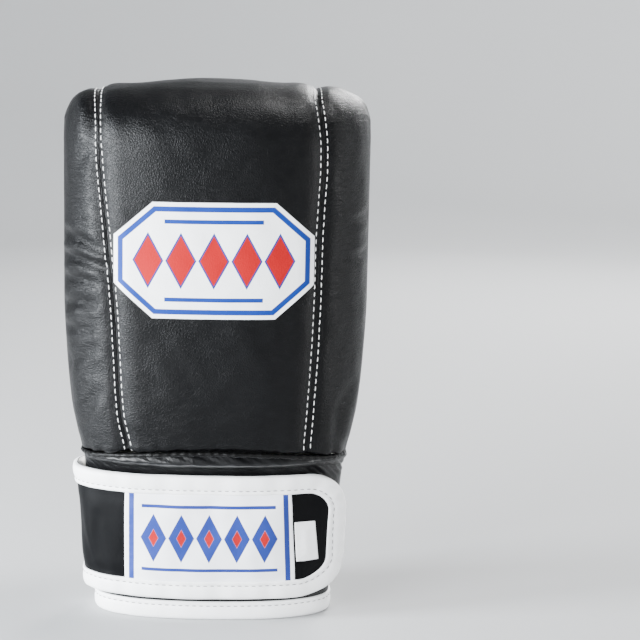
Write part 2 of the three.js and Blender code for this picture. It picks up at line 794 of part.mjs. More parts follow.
// Folded tape round the hem and the slit
const tapeZone = slab(0, tapeWidth).add(slitRegion(tapeWidth).intersect(slab(0, far))).subtract(slitRegion(0));
const tapeCore = sleeve(clearance)
  .subtract(sleeve(-leather - clearance))
  .subtract(slab(-far, tapeLeaf))
  .subtract(slitRegion(tapeLeaf));
const tapeForm = sleeve(clearance + tapeLeaf)
  .subtract(sleeve(-leather - clearance - tapeLeaf))
  .intersect(tapeZone)
  .subtract(tapeCore);
place('edge_tape', tapeForm, whiteTape);

// Thumb pocket in two pieces and its raised seam
const thumbShell = thumb(0).subtract(thumb(-thumbWall)).subtract(sleeve(clearance));
place('thumb_upper', thumbShell.intersect(aboveCrease(clearance / 2)), whiteLeather);
place('thumb_lower', thumbShell.subtract(aboveCrease(-clearance / 2)), whiteLeather);
const seamLow = cuffHeight + thumbSeamPlace.low * padHeight;
const seamHigh = cuffHeight + thumbSeamPlace.high * padHeight;
const seamRight = thumbSeamPlace.reach * palmHalf;
const seamLeft = seamRight - 2 * thumbSeamWidth;
const seamFace = seamForward + thumbSeamPlace.forward * thumbReach;
const seamBlock = prism(
  [[seamLeft, seamLow], [seamRight, seamLow], [seamRight, seamHigh], [seamLeft, seamHigh]],
  seamFace - thumbSeamThickness,
  seamFace,
);
place('thumb_seam', seamBlock.subtract(thumb(clearance)), whiteLeather);

// Strap, its tape, and what is sewn on it
place('wrist_strap', strapSheet(0, strapInner, strapOuter), blackLeather);
const strapTape = strapSheet(clearance + tapeLeaf, clearance, strapOuter + clearance + tapeLeaf)
  .subtract(strapSheet(clearance, strapInner - clearance, strapOuter + clearance, -0.01))
  .subtract(strapSheet(clearance + tapeLeaf - tapeWidth, 0, 2 * strapOuter, -0.02));
place('strap_tape', strapTape, whiteTape);
const labelLow = strapBottom + tapeWidth;
const labelHigh = strapTop - tapeWidth;
const labelRight = labelShift + labelWidth / 2;
const face = strapOuter + clearance;
place(
  'label_patch',
  strapPlate(labelShift - labelWidth / 2, labelRight, labelLow, labelHigh, face, face + labelThickness),
  whiteSatin,
);
const strapMiddle = (strapBottom + strapTop) / 2;
const tagLeft = labelRight + tagGap;
place(
  'size_tag',
  strapPlate(
    tagLeft,
    tagLeft + tagWidth,
    strapMiddle - tagHeight / 2,
    strapMiddle + tagHeight / 2,
    face,
    face + labelThickness,
  ),
  whiteSatin,
);
const patchRight = 0.8 * palmHalf * track(sleeveRows, 'half', placeOf(strapMiddle));
place(
  'fastener_patch',
  strapPlate(patchRight - patchWidth, patchRight, labelLow, labelHigh, clearance, strapInner - clearance),
  blackCloth,
);

// The origin is under the middle of the glove, on the surface that its hem stands on
const size = new THREE.Box3().setFromObject(glove);
glove.position.set(-(size.min.x + size.max.x) / 2, -(size.min.y + size.max.y) / 2, -size.min.z);

const group = new THREE.Group();
group.add(glove);

export default group;
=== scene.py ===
from math import cos, pi, radians, sin

import bmesh
import bpy
import numpy as np
from mathutils import Euler, Matrix, Vector
from mathutils.bvhtree import BVHTree


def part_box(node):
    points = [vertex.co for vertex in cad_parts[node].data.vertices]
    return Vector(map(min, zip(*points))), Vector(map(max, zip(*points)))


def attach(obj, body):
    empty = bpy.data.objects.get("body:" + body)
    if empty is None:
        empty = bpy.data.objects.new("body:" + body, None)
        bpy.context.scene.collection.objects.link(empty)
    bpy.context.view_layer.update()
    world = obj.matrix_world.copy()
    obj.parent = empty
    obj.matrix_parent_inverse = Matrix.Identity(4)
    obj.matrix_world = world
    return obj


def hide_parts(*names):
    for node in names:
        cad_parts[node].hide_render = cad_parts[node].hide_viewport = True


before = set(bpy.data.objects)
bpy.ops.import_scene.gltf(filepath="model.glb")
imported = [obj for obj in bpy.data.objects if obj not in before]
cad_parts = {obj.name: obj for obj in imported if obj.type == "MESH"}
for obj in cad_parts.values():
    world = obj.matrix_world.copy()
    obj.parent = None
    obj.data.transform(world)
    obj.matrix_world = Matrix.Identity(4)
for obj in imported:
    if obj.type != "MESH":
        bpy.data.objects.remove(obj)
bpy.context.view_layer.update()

# Studio: the glove stands on pale paper that rises round it. Two soft lights from the left graze
# its back, a dim one its right side; the others light floor, palm and paper. The camera looks down.
camera_place = (0.0, -0.9, 0.302)
camera_tilt = 80.39
camera_roll = 0.6
camera_data = bpy.data.cameras.new("camera")
camera_data.lens = 100.4
camera_data.sensor_width = 36
camera_data.shift_x = 0.1635
camera_data.clip_start = 0.01
camera = bpy.data.objects.new("camera", camera_data)
camera.location = camera_place
tilted = Euler((radians(camera_tilt), 0, 0)).to_matrix()
camera.rotation_euler = (tilted @ Matrix.Rotation(radians(camera_roll), 3, "Z")).to_euler()
bpy.context.scene.collection.objects.link(camera)
bpy.context.scene.camera = camera


def area_light(name, place, target, width, height, power, colour=(1, 1, 1)):
    data = bpy.data.lights.new(name, "AREA")
    data.shape = "RECTANGLE"
    data.size = width
    data.size_y = height
    data.energy = power
    data.color = colour
    lamp = bpy.data.objects.new(name, data)
    lamp.location = place
    lamp.rotation_euler = (Vector(target) - Vector(place)).to_track_quat("-Z", "Y").to_euler()
    bpy.context.scene.collection.objects.link(lamp)


area_light("key_light", (-1.1, -0.3, 0.3), (0, 0, 0.18), 0.3, 0.5, 68, (0.9, 0.95, 1.0))
area_light("left_light", (-0.8, -0.8, 0.3), (0, 0, 0.18), 0.6, 0.4, 40, (0.94, 0.97, 1.0))
area_light("fill_light", (1.2, -0.45, 0.2), (0, 0, 0.12), 0.3, 0.4, 10)
area_light("floor_light", (0.6, 0.15, 1.9), (0.3, -0.1, 0), 0.6, 0.5, 44)
area_light("palm_light", (0.55, 1.2, 0.8), (0, 0, 0.15), 0.4, 0.4, 22)
area_light("backdrop_light", (1.3, 0.9, 1.4), (1.2, 2.0, 0.5), 1.2, 0.5, 38)

world = bpy.data.worlds.new("studio_air")
world.use_nodes = True
air = world.node_tree.nodes["Background"].inputs
air["Color"].default_value = (0.86, 0.88, 0.9, 1)
air["Strength"].default_value = 0.04
bpy.context.scene.world = world


class Socket:
    """A shader value that takes part in sums, adding its Math nodes."""

    def __init__(self, finish, socket):
        self.finish = finish
        self.socket = socket

    def maths(self, operation, *values):
        return self.finish.node("ShaderNodeMath", {"operation": operation}, dict(enumerate(values)))

    def __add__(self, other):
        return self.maths("ADD", self, other)

    def __sub__(self, other):
        return self.maths("SUBTRACT", self, other)

    def __rsub__(self, other):
        return self.maths("SUBTRACT", other, self)

    def __mul__(self, other):
        return self.maths("MULTIPLY", self, other)

    __radd__ = __add__
    __rmul__ = __mul__

    def __abs__(self):
        return self.maths("ABSOLUTE", self)

    def __or__(self, other):
        return self.maths("MAXIMUM", self, other)

    def __lt__(self, other):
        return self.maths("LESS_THAN", self, other)

    def wave(self):
        return self.maths("SINE", self)

    def zigzag(self, width):
        """Distance to the nearest even multiple of width, so that a mark repeats."""
        return self.maths("PINGPONG", self, width)

    def step(self, low, high):
        """0 below low, 1 above high, smooth between."""
        return self.finish.node(
            "ShaderNodeMapRange",
            {"interpolation_type": "SMOOTHSTEP"},
            {"Value": self, "From Min": low, "From Max": high},
        )


class Finish:
    """One material, whose nodes all come from node()."""

    def __init__(self, name):
        self.material = bpy.data.materials.new(name)
        self.material.use_nodes = True
        self.tree = self.material.node_tree
        self.tree.nodes.clear()

    def node(self, kind, settings=None, values=None, output=0):
        made = self.tree.nodes.new(kind)
        for name, setting in (settings or {}).items():
            setattr(made, name, setting)
        for key, value in (values or {}).items():
            if isinstance(value, Socket):
                self.tree.links.new(value.socket, made.inputs[key])
            else:
                made.inputs[key].default_value = value
        return None if output is None else Socket(self, made.outputs[output])

    def place(self):
        """Place in the object, in millimetres, as a vector and its three numbers."""
        metres = self.node("ShaderNodeTexCoord", output="Object")
        vector = self.node("ShaderNodeVectorMath", {"operation": "SCALE"}, {0: metres, "Scale": 1000})
        parts = [self.node("ShaderNodeSeparateXYZ", values={0: vector}, output=i) for i in range(3)]
        return vector, *parts

    def scaled(self, vector, size, stretch):
        return self.node("ShaderNodeMapping", values={"Vector": vector, "Scale": [s / size for s in stretch]})

    def noise(self, vector, size, detail=2.0, stretch=(1, 1, 1), distortion=0.0):
        """Noise from 0 to 1 whose blobs are about size millimetres wide."""
        values = {"Vector": self.scaled(vector, size, stretch), "Scale": 1, "Detail": detail}
        values["Distortion"] = distortion
        return self.node("ShaderNodeTexNoise", values=values)

    def pores(self, vector, size):
        """Grain of cells: 0 in the lines between them, 1 on the pebbles."""
        values = {"Vector": self.scaled(vector, size, (1, 1, 1)), "Scale": 1}
        return self.node("ShaderNodeTexVoronoi", {"feature": "DISTANCE_TO_EDGE"}, values).step(0.02, 0.3)

    def blend(self, share, first, second):
        """Colour between two colours."""
        colours = [value if isinstance(value, Socket) else (*value, 1) for value in (first, second)]
        values = {0: share, 6: colours[0], 7: colours[1]}
        return self.node("ShaderNodeMix", {"data_type": "RGBA"}, values, output=2)

    def bump(self, height, depth, strength):
        """Bump of a height from 0 to 1 that is depth millimetres deep."""
        values = {"Height": height, "Distance": depth / 1000, "Strength": strength}
        return self.node("ShaderNodeBump", values=values)

    def close(self, **values):
        """Principled surface with these socket values, and the output."""
        sockets = {name.replace("_", " "): value for name, value in values.items()}
        surface = self.node("ShaderNodeBsdfPrincipled", values=sockets)
        self.node("ShaderNodeOutputMaterial", values={"Surface": surface}, output=None)
        return self.material


paper = Finish("studio_paper")
paper_shade = paper.noise(paper.place()[0], 400)
paper_material = paper.close(
    Base_Color=paper.blend(paper_shade, (0.4, 0.405, 0.41), (0.42, 0.425, 0.43)),
    Roughness=0.95,
)
sweep_sides = 64
sweep_radius = 1.5
sweep_bend = 0.8
sweep_height = 3.4
sweep_profile = [(sweep_radius / 2, 0.0)]
for turn in np.linspace(0, pi / 2, 13):
    sweep_profile.append((sweep_radius + sweep_bend * sin(turn), sweep_bend * (1 - cos(turn))))
sweep_profile.append((sweep_radius + sweep_bend, sweep_height))
sweep_points = [(0.0, 0.0, 0.0)]
for radius, height in sweep_profile:
    for turn in np.linspace(0, 2 * pi, sweep_sides, endpoint=False):
        sweep_points.append((float(radius * cos(turn)), float(radius * sin(turn)), float(height)))
sweep_faces = [(0, 1 + k, 1 + (k + 1) % sweep_sides) for k in range(sweep_sides)]
for row in range(len(sweep_profile) - 1):
    near, far = 1 + row * sweep_sides, 1 + (row + 1) * sweep_sides
    for k in range(sweep_sides):
        beyond = (k + 1) % sweep_sides
        sweep_faces.append((near + k, far + k, far + beyond, near + beyond))
floor_mesh = bpy.data.meshes.new("studio_floor")
floor_mesh.from_pydata(sweep_points, [], sweep_faces)
floor_mesh.shade_smooth()
floor_mesh.materials.append(paper_material)
floor = bpy.data.objects.new("studio_floor", floor_mesh)
bpy.context.scene.collection.objects.link(floor)


# Padded back and the roll over the finger tips: soft grained black hide drawn over thick foam.
# Two panels meet in a seam that runs up the left side, round the roll in a wide U, and down the
# right side. The hide sinks along the seam, and gathers where its edge is turned under the roll.
cuff_height = 85
pad_height = 187
pad_half = 155 / 2
overall_height = cuff_height + pad_height
seam_forward = 9
pad_depth = 55
roll_reach = 34
roll_top_radius = 32
roll_centre = overall_height - roll_top_radius
shelf_height = overall_height - 65
roll_side_rise = 31
pad_arch = 6
gather_depth = 2.4
gather_pitch = 14
panel_half = 113 / 2
panel_shift = -3.5
panel_turn = 28
panel_round = 0.8
thumb_reach = 37
thumb_seam_forward = 0.62


def table(columns, rows):
    """Columns of numbers, by name."""
    return dict(zip(columns.split(), np.array(rows, float).T))


# How the glove's half width and depths change with height: 0 hem, 1 cuff's top, 2 finger tips
sleeve_rows = table("at half seam palm back round", [
    (0.0, 0.79, -0.44, 1.0, 1.0, 1),
    (0.25, 0.806, -0.44, 1.0, 1.0, 1),
    (0.53, 0.832, -0.44, 1.0, 1.0, 1),
    (0.87, 0.872, -0.4, 0.95, 1.02, 1),
    (0.93, 0.88, -0.3, 0.9, 1.12, 1),
    (0.985, 0.888, -0.1, 0.83, 1.47, 0.9),
    (1.06, 0.915, 0.3, 0.7, 1.54, 0.6),
    (1.14, 0.952, 0.65, 0.6, 1.54, 0.2),
    (1.27, 0.985, 0.95, 0.47, 1.54, 0),
    (1.4, 1.0, 1.0, 0.38, 1.54, 0),
    (1.64, 1.0, 1.0, 0.22, 1.54, 0),
    (2.0, 1.0, 1.0, 0.18, 1.54, 0),
])
pad_rows = table("at half depth", [
    (0.94, 0.862, 0.74),
    (1.0, 0.878, 0.775),
    (1.05, 0.91, 0.835),
    (1.13, 0.951, 0.92),
    (1.27, 0.984, 0.985),
    (1.42, 1.0, 1.0),
    (1.7, 1.0, 0.99),
    (2.0, 1.0, 0.96),
])
panel_rows = table("at left right", [
    (0.9, -0.655, 0.865),
    (1.0, -0.675, 0.875),
    (1.13, -0.765, 0.905),
    (1.42, -0.825, 0.95),
    (1.6, -0.885, 0.96),
    (1.82, -0.96, 0.985),
    (2.0, -0.985, 0.935),
    (2.1, -0.985, 0.935),
])

# Folds of the hide: from X and Z, to X and Z, how deep and how wide
pad_folds = [
    (-79, 196, -58, 190, 1.4, 2.6),
    (-79, 184, -55, 181, 1.7, 2.4),
    (-79, 172, -59, 173, 1.2, 2.2),
    (-79, 158, -60, 163, 1.5, 2.6),
    (-79, 146, -62, 149, 1, 2.2),
    (-76, 126, -60, 140, 0.9, 2.6),
    (79, 208, 63, 203, 1, 2.6),
    (79, 189, 64, 186, 0.9, 2.4),
    (-62, 262, -66, 232, 1, 3.0),
    (-66, 100, -58, 118, 0.9, 3.0),
    (62, 98, 68, 120, 0.9, 3.0),
]

# The CAD model is centred, so its depth is a little off the one in which these sizes are given
origin = np.array([0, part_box("thumb_seam")[1].y * 1000 - seam_forward - thumb_seam_forward * thumb_reach, 0])


def mix(a, b, share):
    return a + (b - a) * share


def smooth(low, high, value):
    t = np.clip((value - low) / (high - low), 0, 1)
    return t * t * (3 - 2 * t)


def hump(away):
    return np.exp(-(away**2))


def track(rows, column, at, key="at"):
    """Smooth value of a table's column, without overshoot between its rows."""
    places, values = rows[key], rows[column]
    at = np.clip(at, places[0], places[-1])
    i = np.clip(np.searchsorted(places, at, side="left") - 1, 0, len(places) - 2)
    rise = np.diff(values) / np.diff(places)
    product = rise[:-1] * rise[1:]
    bend = np.where(product > 0, 2 * product / np.where(product > 0, rise[:-1] + rise[1:], 1), 0)
    slope = np.concatenate([rise[:1], bend, rise[-1:]])
    width = places[i + 1] - places[i]
    t = (at - places[i]) / width
    lean = (1 - t) * slope[i] - t * slope[i + 1]
    return mix(values[i], values[i + 1], (3 - 2 * t) * t * t) + width * t * (1 - t) * lean


def height_at(at):
    return np.where(at <= 1, at * cuff_height, cuff_height + (at - 1) * pad_height)


def place_of(z):
    return np.where(z <= cuff_height, z / cuff_height, 1 + (z - cuff_height) / pad_height)


def oval(s, power):
    return (1 - np.minimum(1, np.abs(s)) ** power) ** (1 / power)


def signed_power(value, power):
    return np.sign(value) * np.abs(value) ** power


def length_of(vectors):
    return np.linalg.norm(vectors, axis=-1, keepdims=True)


def unit(vectors):
    return vectors / np.maximum(length_of(vectors), 1e-9)


def grid_normals(grid):
    """Normals of a grid of points, rows first."""
    square = np.cross(np.gradient(grid, axis=1), np.gradient(grid, axis=0))
    return square / np.maximum(length_of(square), 0.002)


def ripple(points, size, seed):
    """Smooth unevenness from -1 to 1 over about size millimetres, the same on every run."""
    waves = np.random.default_rng(seed)
    total = np.zeros(points.shape[:-1])
    for _ in range(9):
        direction = unit(waves.normal(size=3)) * (2 * pi / size) * waves.uniform(0.6, 1.5)
        total += np.sin(points @ direction + waves.uniform(0, 2 * pi))
    return total / 4.5


def fold_depth(points, folds):
    """How far points sink into slightly bowed folds, sharp valleys with a soft lip on both sides."""
    sink = np.zeros(points.shape[:-1])
    flat = points[..., [0, 2]]
    for x0, z0, x1, z1, deep, wide in folds:
        start = np.array([x0, z0], float)
        along = np.array([x1, z1], float) - start
        share = np.clip(((flat - start) @ along) / (along @ along), 0, 1)
        across = np.array([-along[1], along[0]])
        fold = start + share[..., None] * along + (0.07 * np.sin(pi * share))[..., None] * across
        away = np.linalg.norm(flat - fold, axis=-1) / wide
        fade = np.sin(pi * np.clip(0.18 + 0.7 * share, 0, 1)) ** 0.7
        sink += deep * fade * (hump(away) - 0.45 * hump(away - 1.9))
    return sink


def quads_of(index):
    """Four-sided faces between the numbered points of a grid."""
    corners = index[:-1, :-1], index[:-1, 1:], index[1:, 1:], index[1:, :-1]
    return np.stack(corners, axis=-1).reshape(-1, 4)


def numbered(grid):
    return np.arange(grid.shape[0] * grid.shape[1]).reshape(grid.shape[:2])


def shell(grid, thickness):
    """Closed leather of this thickness under a grid of outer points, with rounded rims."""
    rows, columns = grid.shape[:2]
    count = rows * columns
    thickness = np.broadcast_to(thickness, (rows, columns))[..., None]
    normals = grid_normals(grid)
    loop = [(0, j) for j in range(columns - 1)]
    loop += [(i, columns - 1) for i in range(rows - 1)]
    loop += [(rows - 1, j) for j in range(columns - 1, 0, -1)]
    loop += [(i, 0) for i in range(rows - 1, 0, -1)]
    loop = np.array(loop)
    inside = np.clip(loop, 1, [rows - 2, columns - 2])
    on_rim = loop[:, 0], loop[:, 1]
    away = grid[on_rim] - grid[inside[:, 0], inside[:, 1]]
    away = away / np.maximum(length_of(away), 0.25)
    rim = grid[on_rim] + (0.45 * away - 0.5 * normals[on_rim]) * thickness[on_rim]
    index = numbered(grid)
    edge = np.append(index[on_rim], 0)
    middle = np.append(2 * count + np.arange(len(loop)), 2 * count)
    faces = [quads_of(index), quads_of(index)[:, ::-1] + count]
    faces += [quads_of(np.stack([edge, middle])), quads_of(np.stack([middle, edge + count]))]
    points = [part.reshape(-1, 3) for part in (grid, grid - normals * thickness, rim)]
    return np.concatenate(points), np.concatenate(faces)


def add_piece(name, points, faces, material, slot, nodes=()):
    """Adds a mesh given in millimetres as a piece of the glove."""
    mesh = bpy.data.meshes.new(name)
    mesh.from_pydata(((points + origin) / 1000).tolist(), [], [list(map(int, face)) for face in faces])
    form = bmesh.new()
    form.from_mesh(mesh)
    bmesh.ops.recalc_face_normals(form, faces=form.faces)
    form.to_mesh(mesh)
    form.free()
    mesh.shade_smooth()
    mesh.materials.append(material)
    piece = bpy.data.objects.new(name, mesh)
    bpy.context.scene.collection.objects.link(piece)
    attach(piece, "root")
    if nodes:
        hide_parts(*nodes)
    return piece


def roll_edge(x):
    return shelf_height + roll_side_rise * np.minimum(1, np.abs(x) / (0.83 * pad_half)) ** 2.8


pad_foot_half = pad_half * track(pad_rows, "half", 1.0)


def pad_bottom(x):
    return cuff_height + pad_arch * (1 - np.minimum(1, np.abs(x) / pad_foot_half) ** 2)


def seam_y(z):
    return seam_forward * track(sleeve_rows, "seam", place_of(z))


def pad_profile(u):
    """Rows of points round the pad at one place from side to side: back, top, roll, turned edge."""
    def back_face(z):
        return seam_y(z) - pad_depth * track(pad_rows, "depth", place_of(z)) * oval(u, 2.6)

    roll_face = seam_forward + roll_reach * oval(u, 3)
    bottom = float(pad_bottom(u * pad_foot_half))
    gathers = gather_depth * abs(sin(pi * u * pad_half / gather_pitch)) * (1 - u * u)
    edge = min(float(roll_edge(u * pad_half)) + gathers, roll_centre - 1)
    edge_face = min(seam_forward + 0.3 * roll_reach, mix(seam_forward, roll_face, 0.7))
    foot_face = back_face(bottom)
    foot_round = 1.8
    profile = []
    for turn in np.linspace(0, pi / 2, 5)[:-1]:
        turned_in = 0.16 * (seam_y(bottom) - foot_face) * (1 - sin(turn))
        profile.append((foot_face + turned_in, bottom + foot_round * (1 - cos(turn)) - 0.2))
    for z in mix(bottom + foot_round, roll_centre, np.linspace(0, 1, 112)[:-1]):
        profile.append((float(back_face(z)), z))
    middle = (back_face(roll_centre) + roll_face) / 2
    half_depth = (roll_face - back_face(roll_centre)) / 2
    lower_sides = 1 - 0.07 * smooth(0.1, 0.75, abs(u))
    for turn in np.linspace(pi, 0, 89):
        rise = roll_top_radius * oval(u, 4.5) * max(0, sin(turn)) ** 0.9 * lower_sides
        profile.append((middle + half_depth * signed_power(cos(turn), 0.9), roll_centre + rise))
    for turn in np.linspace(0, pi / 2, 19)[1:]:
        profile.append((mix(edge_face, roll_face, cos(turn)), mix(roll_centre, edge, sin(turn))))
    lip = 3.2 * oval(u, 4)
    for turn in np.linspace(0, pi / 2, 5)[1:]:
        profile.append((edge_face - lip * sin(turn), edge + 0.7 * lip * (1 - cos(turn))))
    profile = np.array(profile, float)
    x = u * pad_half * track(pad_rows, "half", place_of(profile[:, 1]))
    return np.stack([x, profile[:, 0], profile[:, 1]], axis=-1)


def grid_tree(grid):
    return BVHTree.FromPolygons(grid.reshape(-1, 3).tolist(), quads_of(numbered(grid)).tolist())


def hit(tree, start, direction):
    place = tree.ray_cast(Vector(start), Vector(direction))[0]
    return None if place is None else np.array(place)


def eased(path, times):
    """A line whose points are drawn towards their neighbours."""
    path = np.array(path, float)
    for _ in range(times):
        path[1:-1] = path[1:-1] * 0.5 + (path[:-2] + path[2:]) * 0.25
    return path


def run_of(path):
    return np.concatenate([[0], np.cumsum(np.linalg.norm(np.diff(path, axis=0), axis=-1))])


def along_run(path, run, at):
    return np.stack([np.interp(at, run, column) for column in path.T], axis=-1)


def resample(path, pitch):
    """The same line, a little eased, with points at an even pitch."""
    path = eased(path, 3)
    run = run_of(path)
    return along_run(path, run, np.linspace(0, run[-1], max(2, int(round(run[-1] / pitch))) + 1))


def panel_edge(side, at):
    return panel_shift + panel_half * track(panel_rows, side, at)


def seam_path(tree):
    """Points along the seam between the two panels, laid on the smooth pad."""
    lines = {}
    for side in ("left", "right"):
        x_of = {z: float(panel_edge(side, place_of(z))) for z in np.linspace(84.5, 262, 120)}
        line = [hit(tree, (x, -300, z), (0, 1, 0)) for z, x in x_of.items()]
        for y in np.linspace(line[-1][1] + 1, 27, 40):
            line.append(hit(tree, (float(panel_edge(side, 2.0)), y, 400), (0, 0, -1)))
        lines[side] = line
    ends = []
    for side, sign in (("left", -1), ("right", 1)):
        drop = (overall_height - lines[side][-1][2]) / panel_turn
        ends.append(np.arccos(sign * np.sqrt(max(0, 1 - drop ** (2 / panel_round)))))
    arc = []
    for turn in np.linspace(*ends, 120)[1:-1]:
        share = (signed_power(cos(turn), panel_round) + 1) / 2
        x = mix(panel_edge("left", 2.0), panel_edge("right", 2.0), share)
        arc.append(hit(tree, (x, 300, overall_height - panel_turn * sin(turn) ** panel_round), (0, -1, 0)))
    path = [point for point in lines["left"] + arc + lines["right"][::-1] if point is not None]
    return resample(path, 1.0)


def distance_to(path, points):
    """Distance of each point to a line of points."""
    parts = np.array_split(points.reshape(-1, 3), 20)
    near = [np.linalg.norm(part[:, None] - path[None], axis=-1).min(axis=1) for part in parts]
    return np.concatenate(near).reshape(points.shape[:-1])


def pad_seam_side(points):
    """1 within the centre panel, -1 outside it."""
    x, y, z = points[..., 0], points[..., 1], points[..., 2]
    on_back = y < 0
    at = np.where(on_back, place_of(z), 2.0)
    left, right = panel_edge("left", at), panel_edge("right", at)
    share = np.clip((x - left) / (right - left) * 2 - 1, -1, 1)
    turn = np.arccos(np.clip(signed_power(share, 1 / panel_round), -1, 1))
    above_arc = z > overall_height - panel_turn * np.sin(turn) ** panel_round
    return np.where((x > left) & (x < right) & (on_back | above_arc), 1.0, -1.0)


pad_stations = np.sin(np.linspace(-pi / 2, pi / 2, 191))
pad_grid = np.stack([pad_profile(u) for u in pad_stations], axis=1)
smooth_pad_tree = grid_tree(pad_grid)
pad_seam = seam_path(smooth_pad_tree)
pad_gap = distance_to(pad_seam, pad_grid)
pad_side = pad_seam_side(pad_grid)
gx, gy, gz = pad_grid[..., 0], pad_grid[..., 1], pad_grid[..., 2]
back_share = smooth(0, -8, gy)
front_share = 1 - back_share
sink = 1.15 * hump(pad_gap / 1.1) + 0.75 * hump((pad_gap / 4.2) ** 2) - 0.55 * hump((pad_gap - 9) / 5.5)
sink = sink + back_share * fold_depth(pad_grid, pad_folds)
pleats = np.abs(np.sin(pi * gx / gather_pitch + 0.25 * np.sin(gx * 0.31)))
near_edge = front_share * hump(np.maximum(gz - roll_edge(gx), 0) / 13) * (gy > 10)
sink += 2.6 * near_edge * (0.55 - pleats)
corner = front_share * smooth(50, 66, np.abs(gx)) * smooth(226, 236, gz) * smooth(270, 258, gz)
sink += 0.9 * corner * np.sin((gz + 0.9 * np.abs(gx)) * 2 * pi / 8.5 + 0.6 * np.sin(gz * 0.4))
foot = back_share * hump((gz - cuff_height) / 7.0)
sink += 0.45 * foot * np.sin(gx * 2 * pi / 9.5 + np.sin(gx * 0.21) * 1.5)
sink += 0.5 * ripple(pad_grid, 46, 3) + 0.16 * ripple(pad_grid, 13, 4)
widest = np.maximum(np.abs(gx).max(axis=1, keepdims=True), 1)
fixed_ends = smooth(0, 3, pad_half - np.abs(gx) * (pad_half / widest))
pad_grid = pad_grid - grid_normals(pad_grid) * (sink * fixed_ends)[..., None]

black_hide = Finish("black_grained_hide")
vector, px, py, pz = black_hide.place()
seam_gap = black_hide.node("ShaderNodeAttribute", {"attribute_name": "seam_gap"}, output="Fac")
pebbles = black_hide.pores(vector, 1.15)
wrinkles = black_hide.noise(vector, 6, 5, (1, 1, 1.8), 1.2)
broad = black_hide.noise(vector, 38, 3)
creases = 1 - abs(wrinkles - 0.5).step(0.0, 0.05)
seam_line = 1 - abs(seam_gap).step(0.15, 0.75)


# The print: a white plate with cut corners, on it a blue ring, a row of red diamonds and two bars
plate_x, plate_z = -1.0, 186.0
diamond_pitch = 8.0
plate_across = abs(px - plate_x)
plate_up = abs(pz - plate_z)
on_back = py < 0.0
half_width, half_height, cut_corner = 49, 28.5, 19
past_corner = (plate_across + plate_up * 1.15 - (half_width + half_height * 1.15 - cut_corner)) * 0.656
inside_plate = 0 - ((plate_across - half_width) | (plate_up - half_height) | past_corner)
plate_mask = inside_plate.step(0, 0.35) * on_back
ring_mask = inside_plate.step(2.0, 2.35) * (1 - inside_plate.step(4.6, 4.95)) * on_back
inside_diamond = 7.7 - ((px - plate_x + 20 * diamond_pitch).zigzag(diamond_pitch) + plate_up * 0.55)
in_row = (plate_across < 40.0) * on_back
diamond_mask = inside_diamond.step(0.9, 1.15) * in_row
diamond_edge = inside_diamond.step(0, 0.25) * in_row
bar_mask = (1 - abs(plate_up - 19.0).step(0.9, 1.2)) * (plate_across < 24.0) * on_back
print_share = plate_mask * (0.93 + 0.07 * black_hide.noise(vector, 2.2, 4))
hide_colour = black_hide.blend(broad, (0.0009, 0.00095, 0.0011), (0.002, 0.0021, 0.0025))
hide_colour = black_hide.blend(creases * 0.35, hide_colour, (0.0035, 0.0037, 0.0042))
hide_colour = black_hide.blend(seam_line, hide_colour, (0.002, 0.002, 0.002))
print_colour = (0.93, 0.94, 0.95)
print_blue, print_red = (0.004, 0.028, 0.2), (0.33, 0.004, 0.006)
for mask, ink in (
    (ring_mask, print_blue), (diamond_edge, print_blue), (diamond_mask, print_red), (bar_mask, print_blue)
):
    print_colour = black_hide.blend(mask, print_colour, ink)
side_lines = black_hide.noise(vector, 8, 5, (0.8, 0.8, 3.4), 0.9)
side_creases = (1 - abs(side_lines - 0.5).step(0.0, 0.07)) * abs(px).step(44, 66)
hide_bump = pebbles * 0.24 + wrinkles * 0.34 - creases * 0.12 - side_creases * 0.3 - seam_line * 1.2
black_hide_material = black_hide.close(
    Base_Color=black_hide.blend(print_share, hide_colour, print_colour),
    Roughness=0.37 + 0.08 * broad - 0.05 * pebbles + 0.2 * plate_mask,
    Specular_IOR_Level=0.13,
    Normal=black_hide.bump(hide_bump * (1 - 0.6 * plate_mask), 0.34, 0.9),
)

hide_thickness = mix(0.15, 2.2, smooth(0, 5, pad_half * track(pad_rows, "half", place_of(gz)) - np.abs(gx)))
points, faces = shell(pad_grid, hide_thickness)
padded_back = add_piece(
    "padded_back", points, faces, black_hide_material, "black_leather", ("centre_panel", "surround_panel")
)
flat_gap = (pad_gap * pad_side).ravel()
rim_gap = np.full(len(points) - 2 * len(flat_gap), -50.0)
seam_gaps = padded_back.data.attributes.new("seam_gap", "FLOAT", "POINT")
seam_gaps.data.foreach_set("value", np.concatenate([flat_gap, flat_gap, rim_gap]).astype(np.float32))
pad_tree = grid_tree(pad_grid)


# Stitching: thick white waxed thread in two rows, one on each side of every seam of the pad.
# A stitch is about 4 mm long from hole to hole and pulls its ends into the hide.
def thread_finish(name, dark, pale):
    thread = Finish(name)
    twist = thread.noise(thread.place()[0], 0.5, 3)
    return thread.close(
        Base_Color=thread.blend(twist, dark, pale),
        Roughness=0.6 + 0.15 * twist,
        Normal=thread.bump(twist, 0.1, 0.5),
    )


white_thread = thread_finish("white_waxed_thread", (0.74, 0.74, 0.72), (0.9, 0.9, 0.88))


def nearest(tree, points):
    """Nearest places on a surface and their normals."""
    found = [tree.find_nearest(Vector(p)) for p in points]
    return np.array([f[0] for f in found]), np.array([f[1] for f in found])


def tube(rings):
    """Points and faces of a tube with closed ends through rings of points."""
    index = numbered(rings)
    sides = quads_of(np.concatenate([index, index[:, :1]], axis=1))
    return rings.reshape(-1, 3), list(sides) + [index[0][::-1], index[-1]]


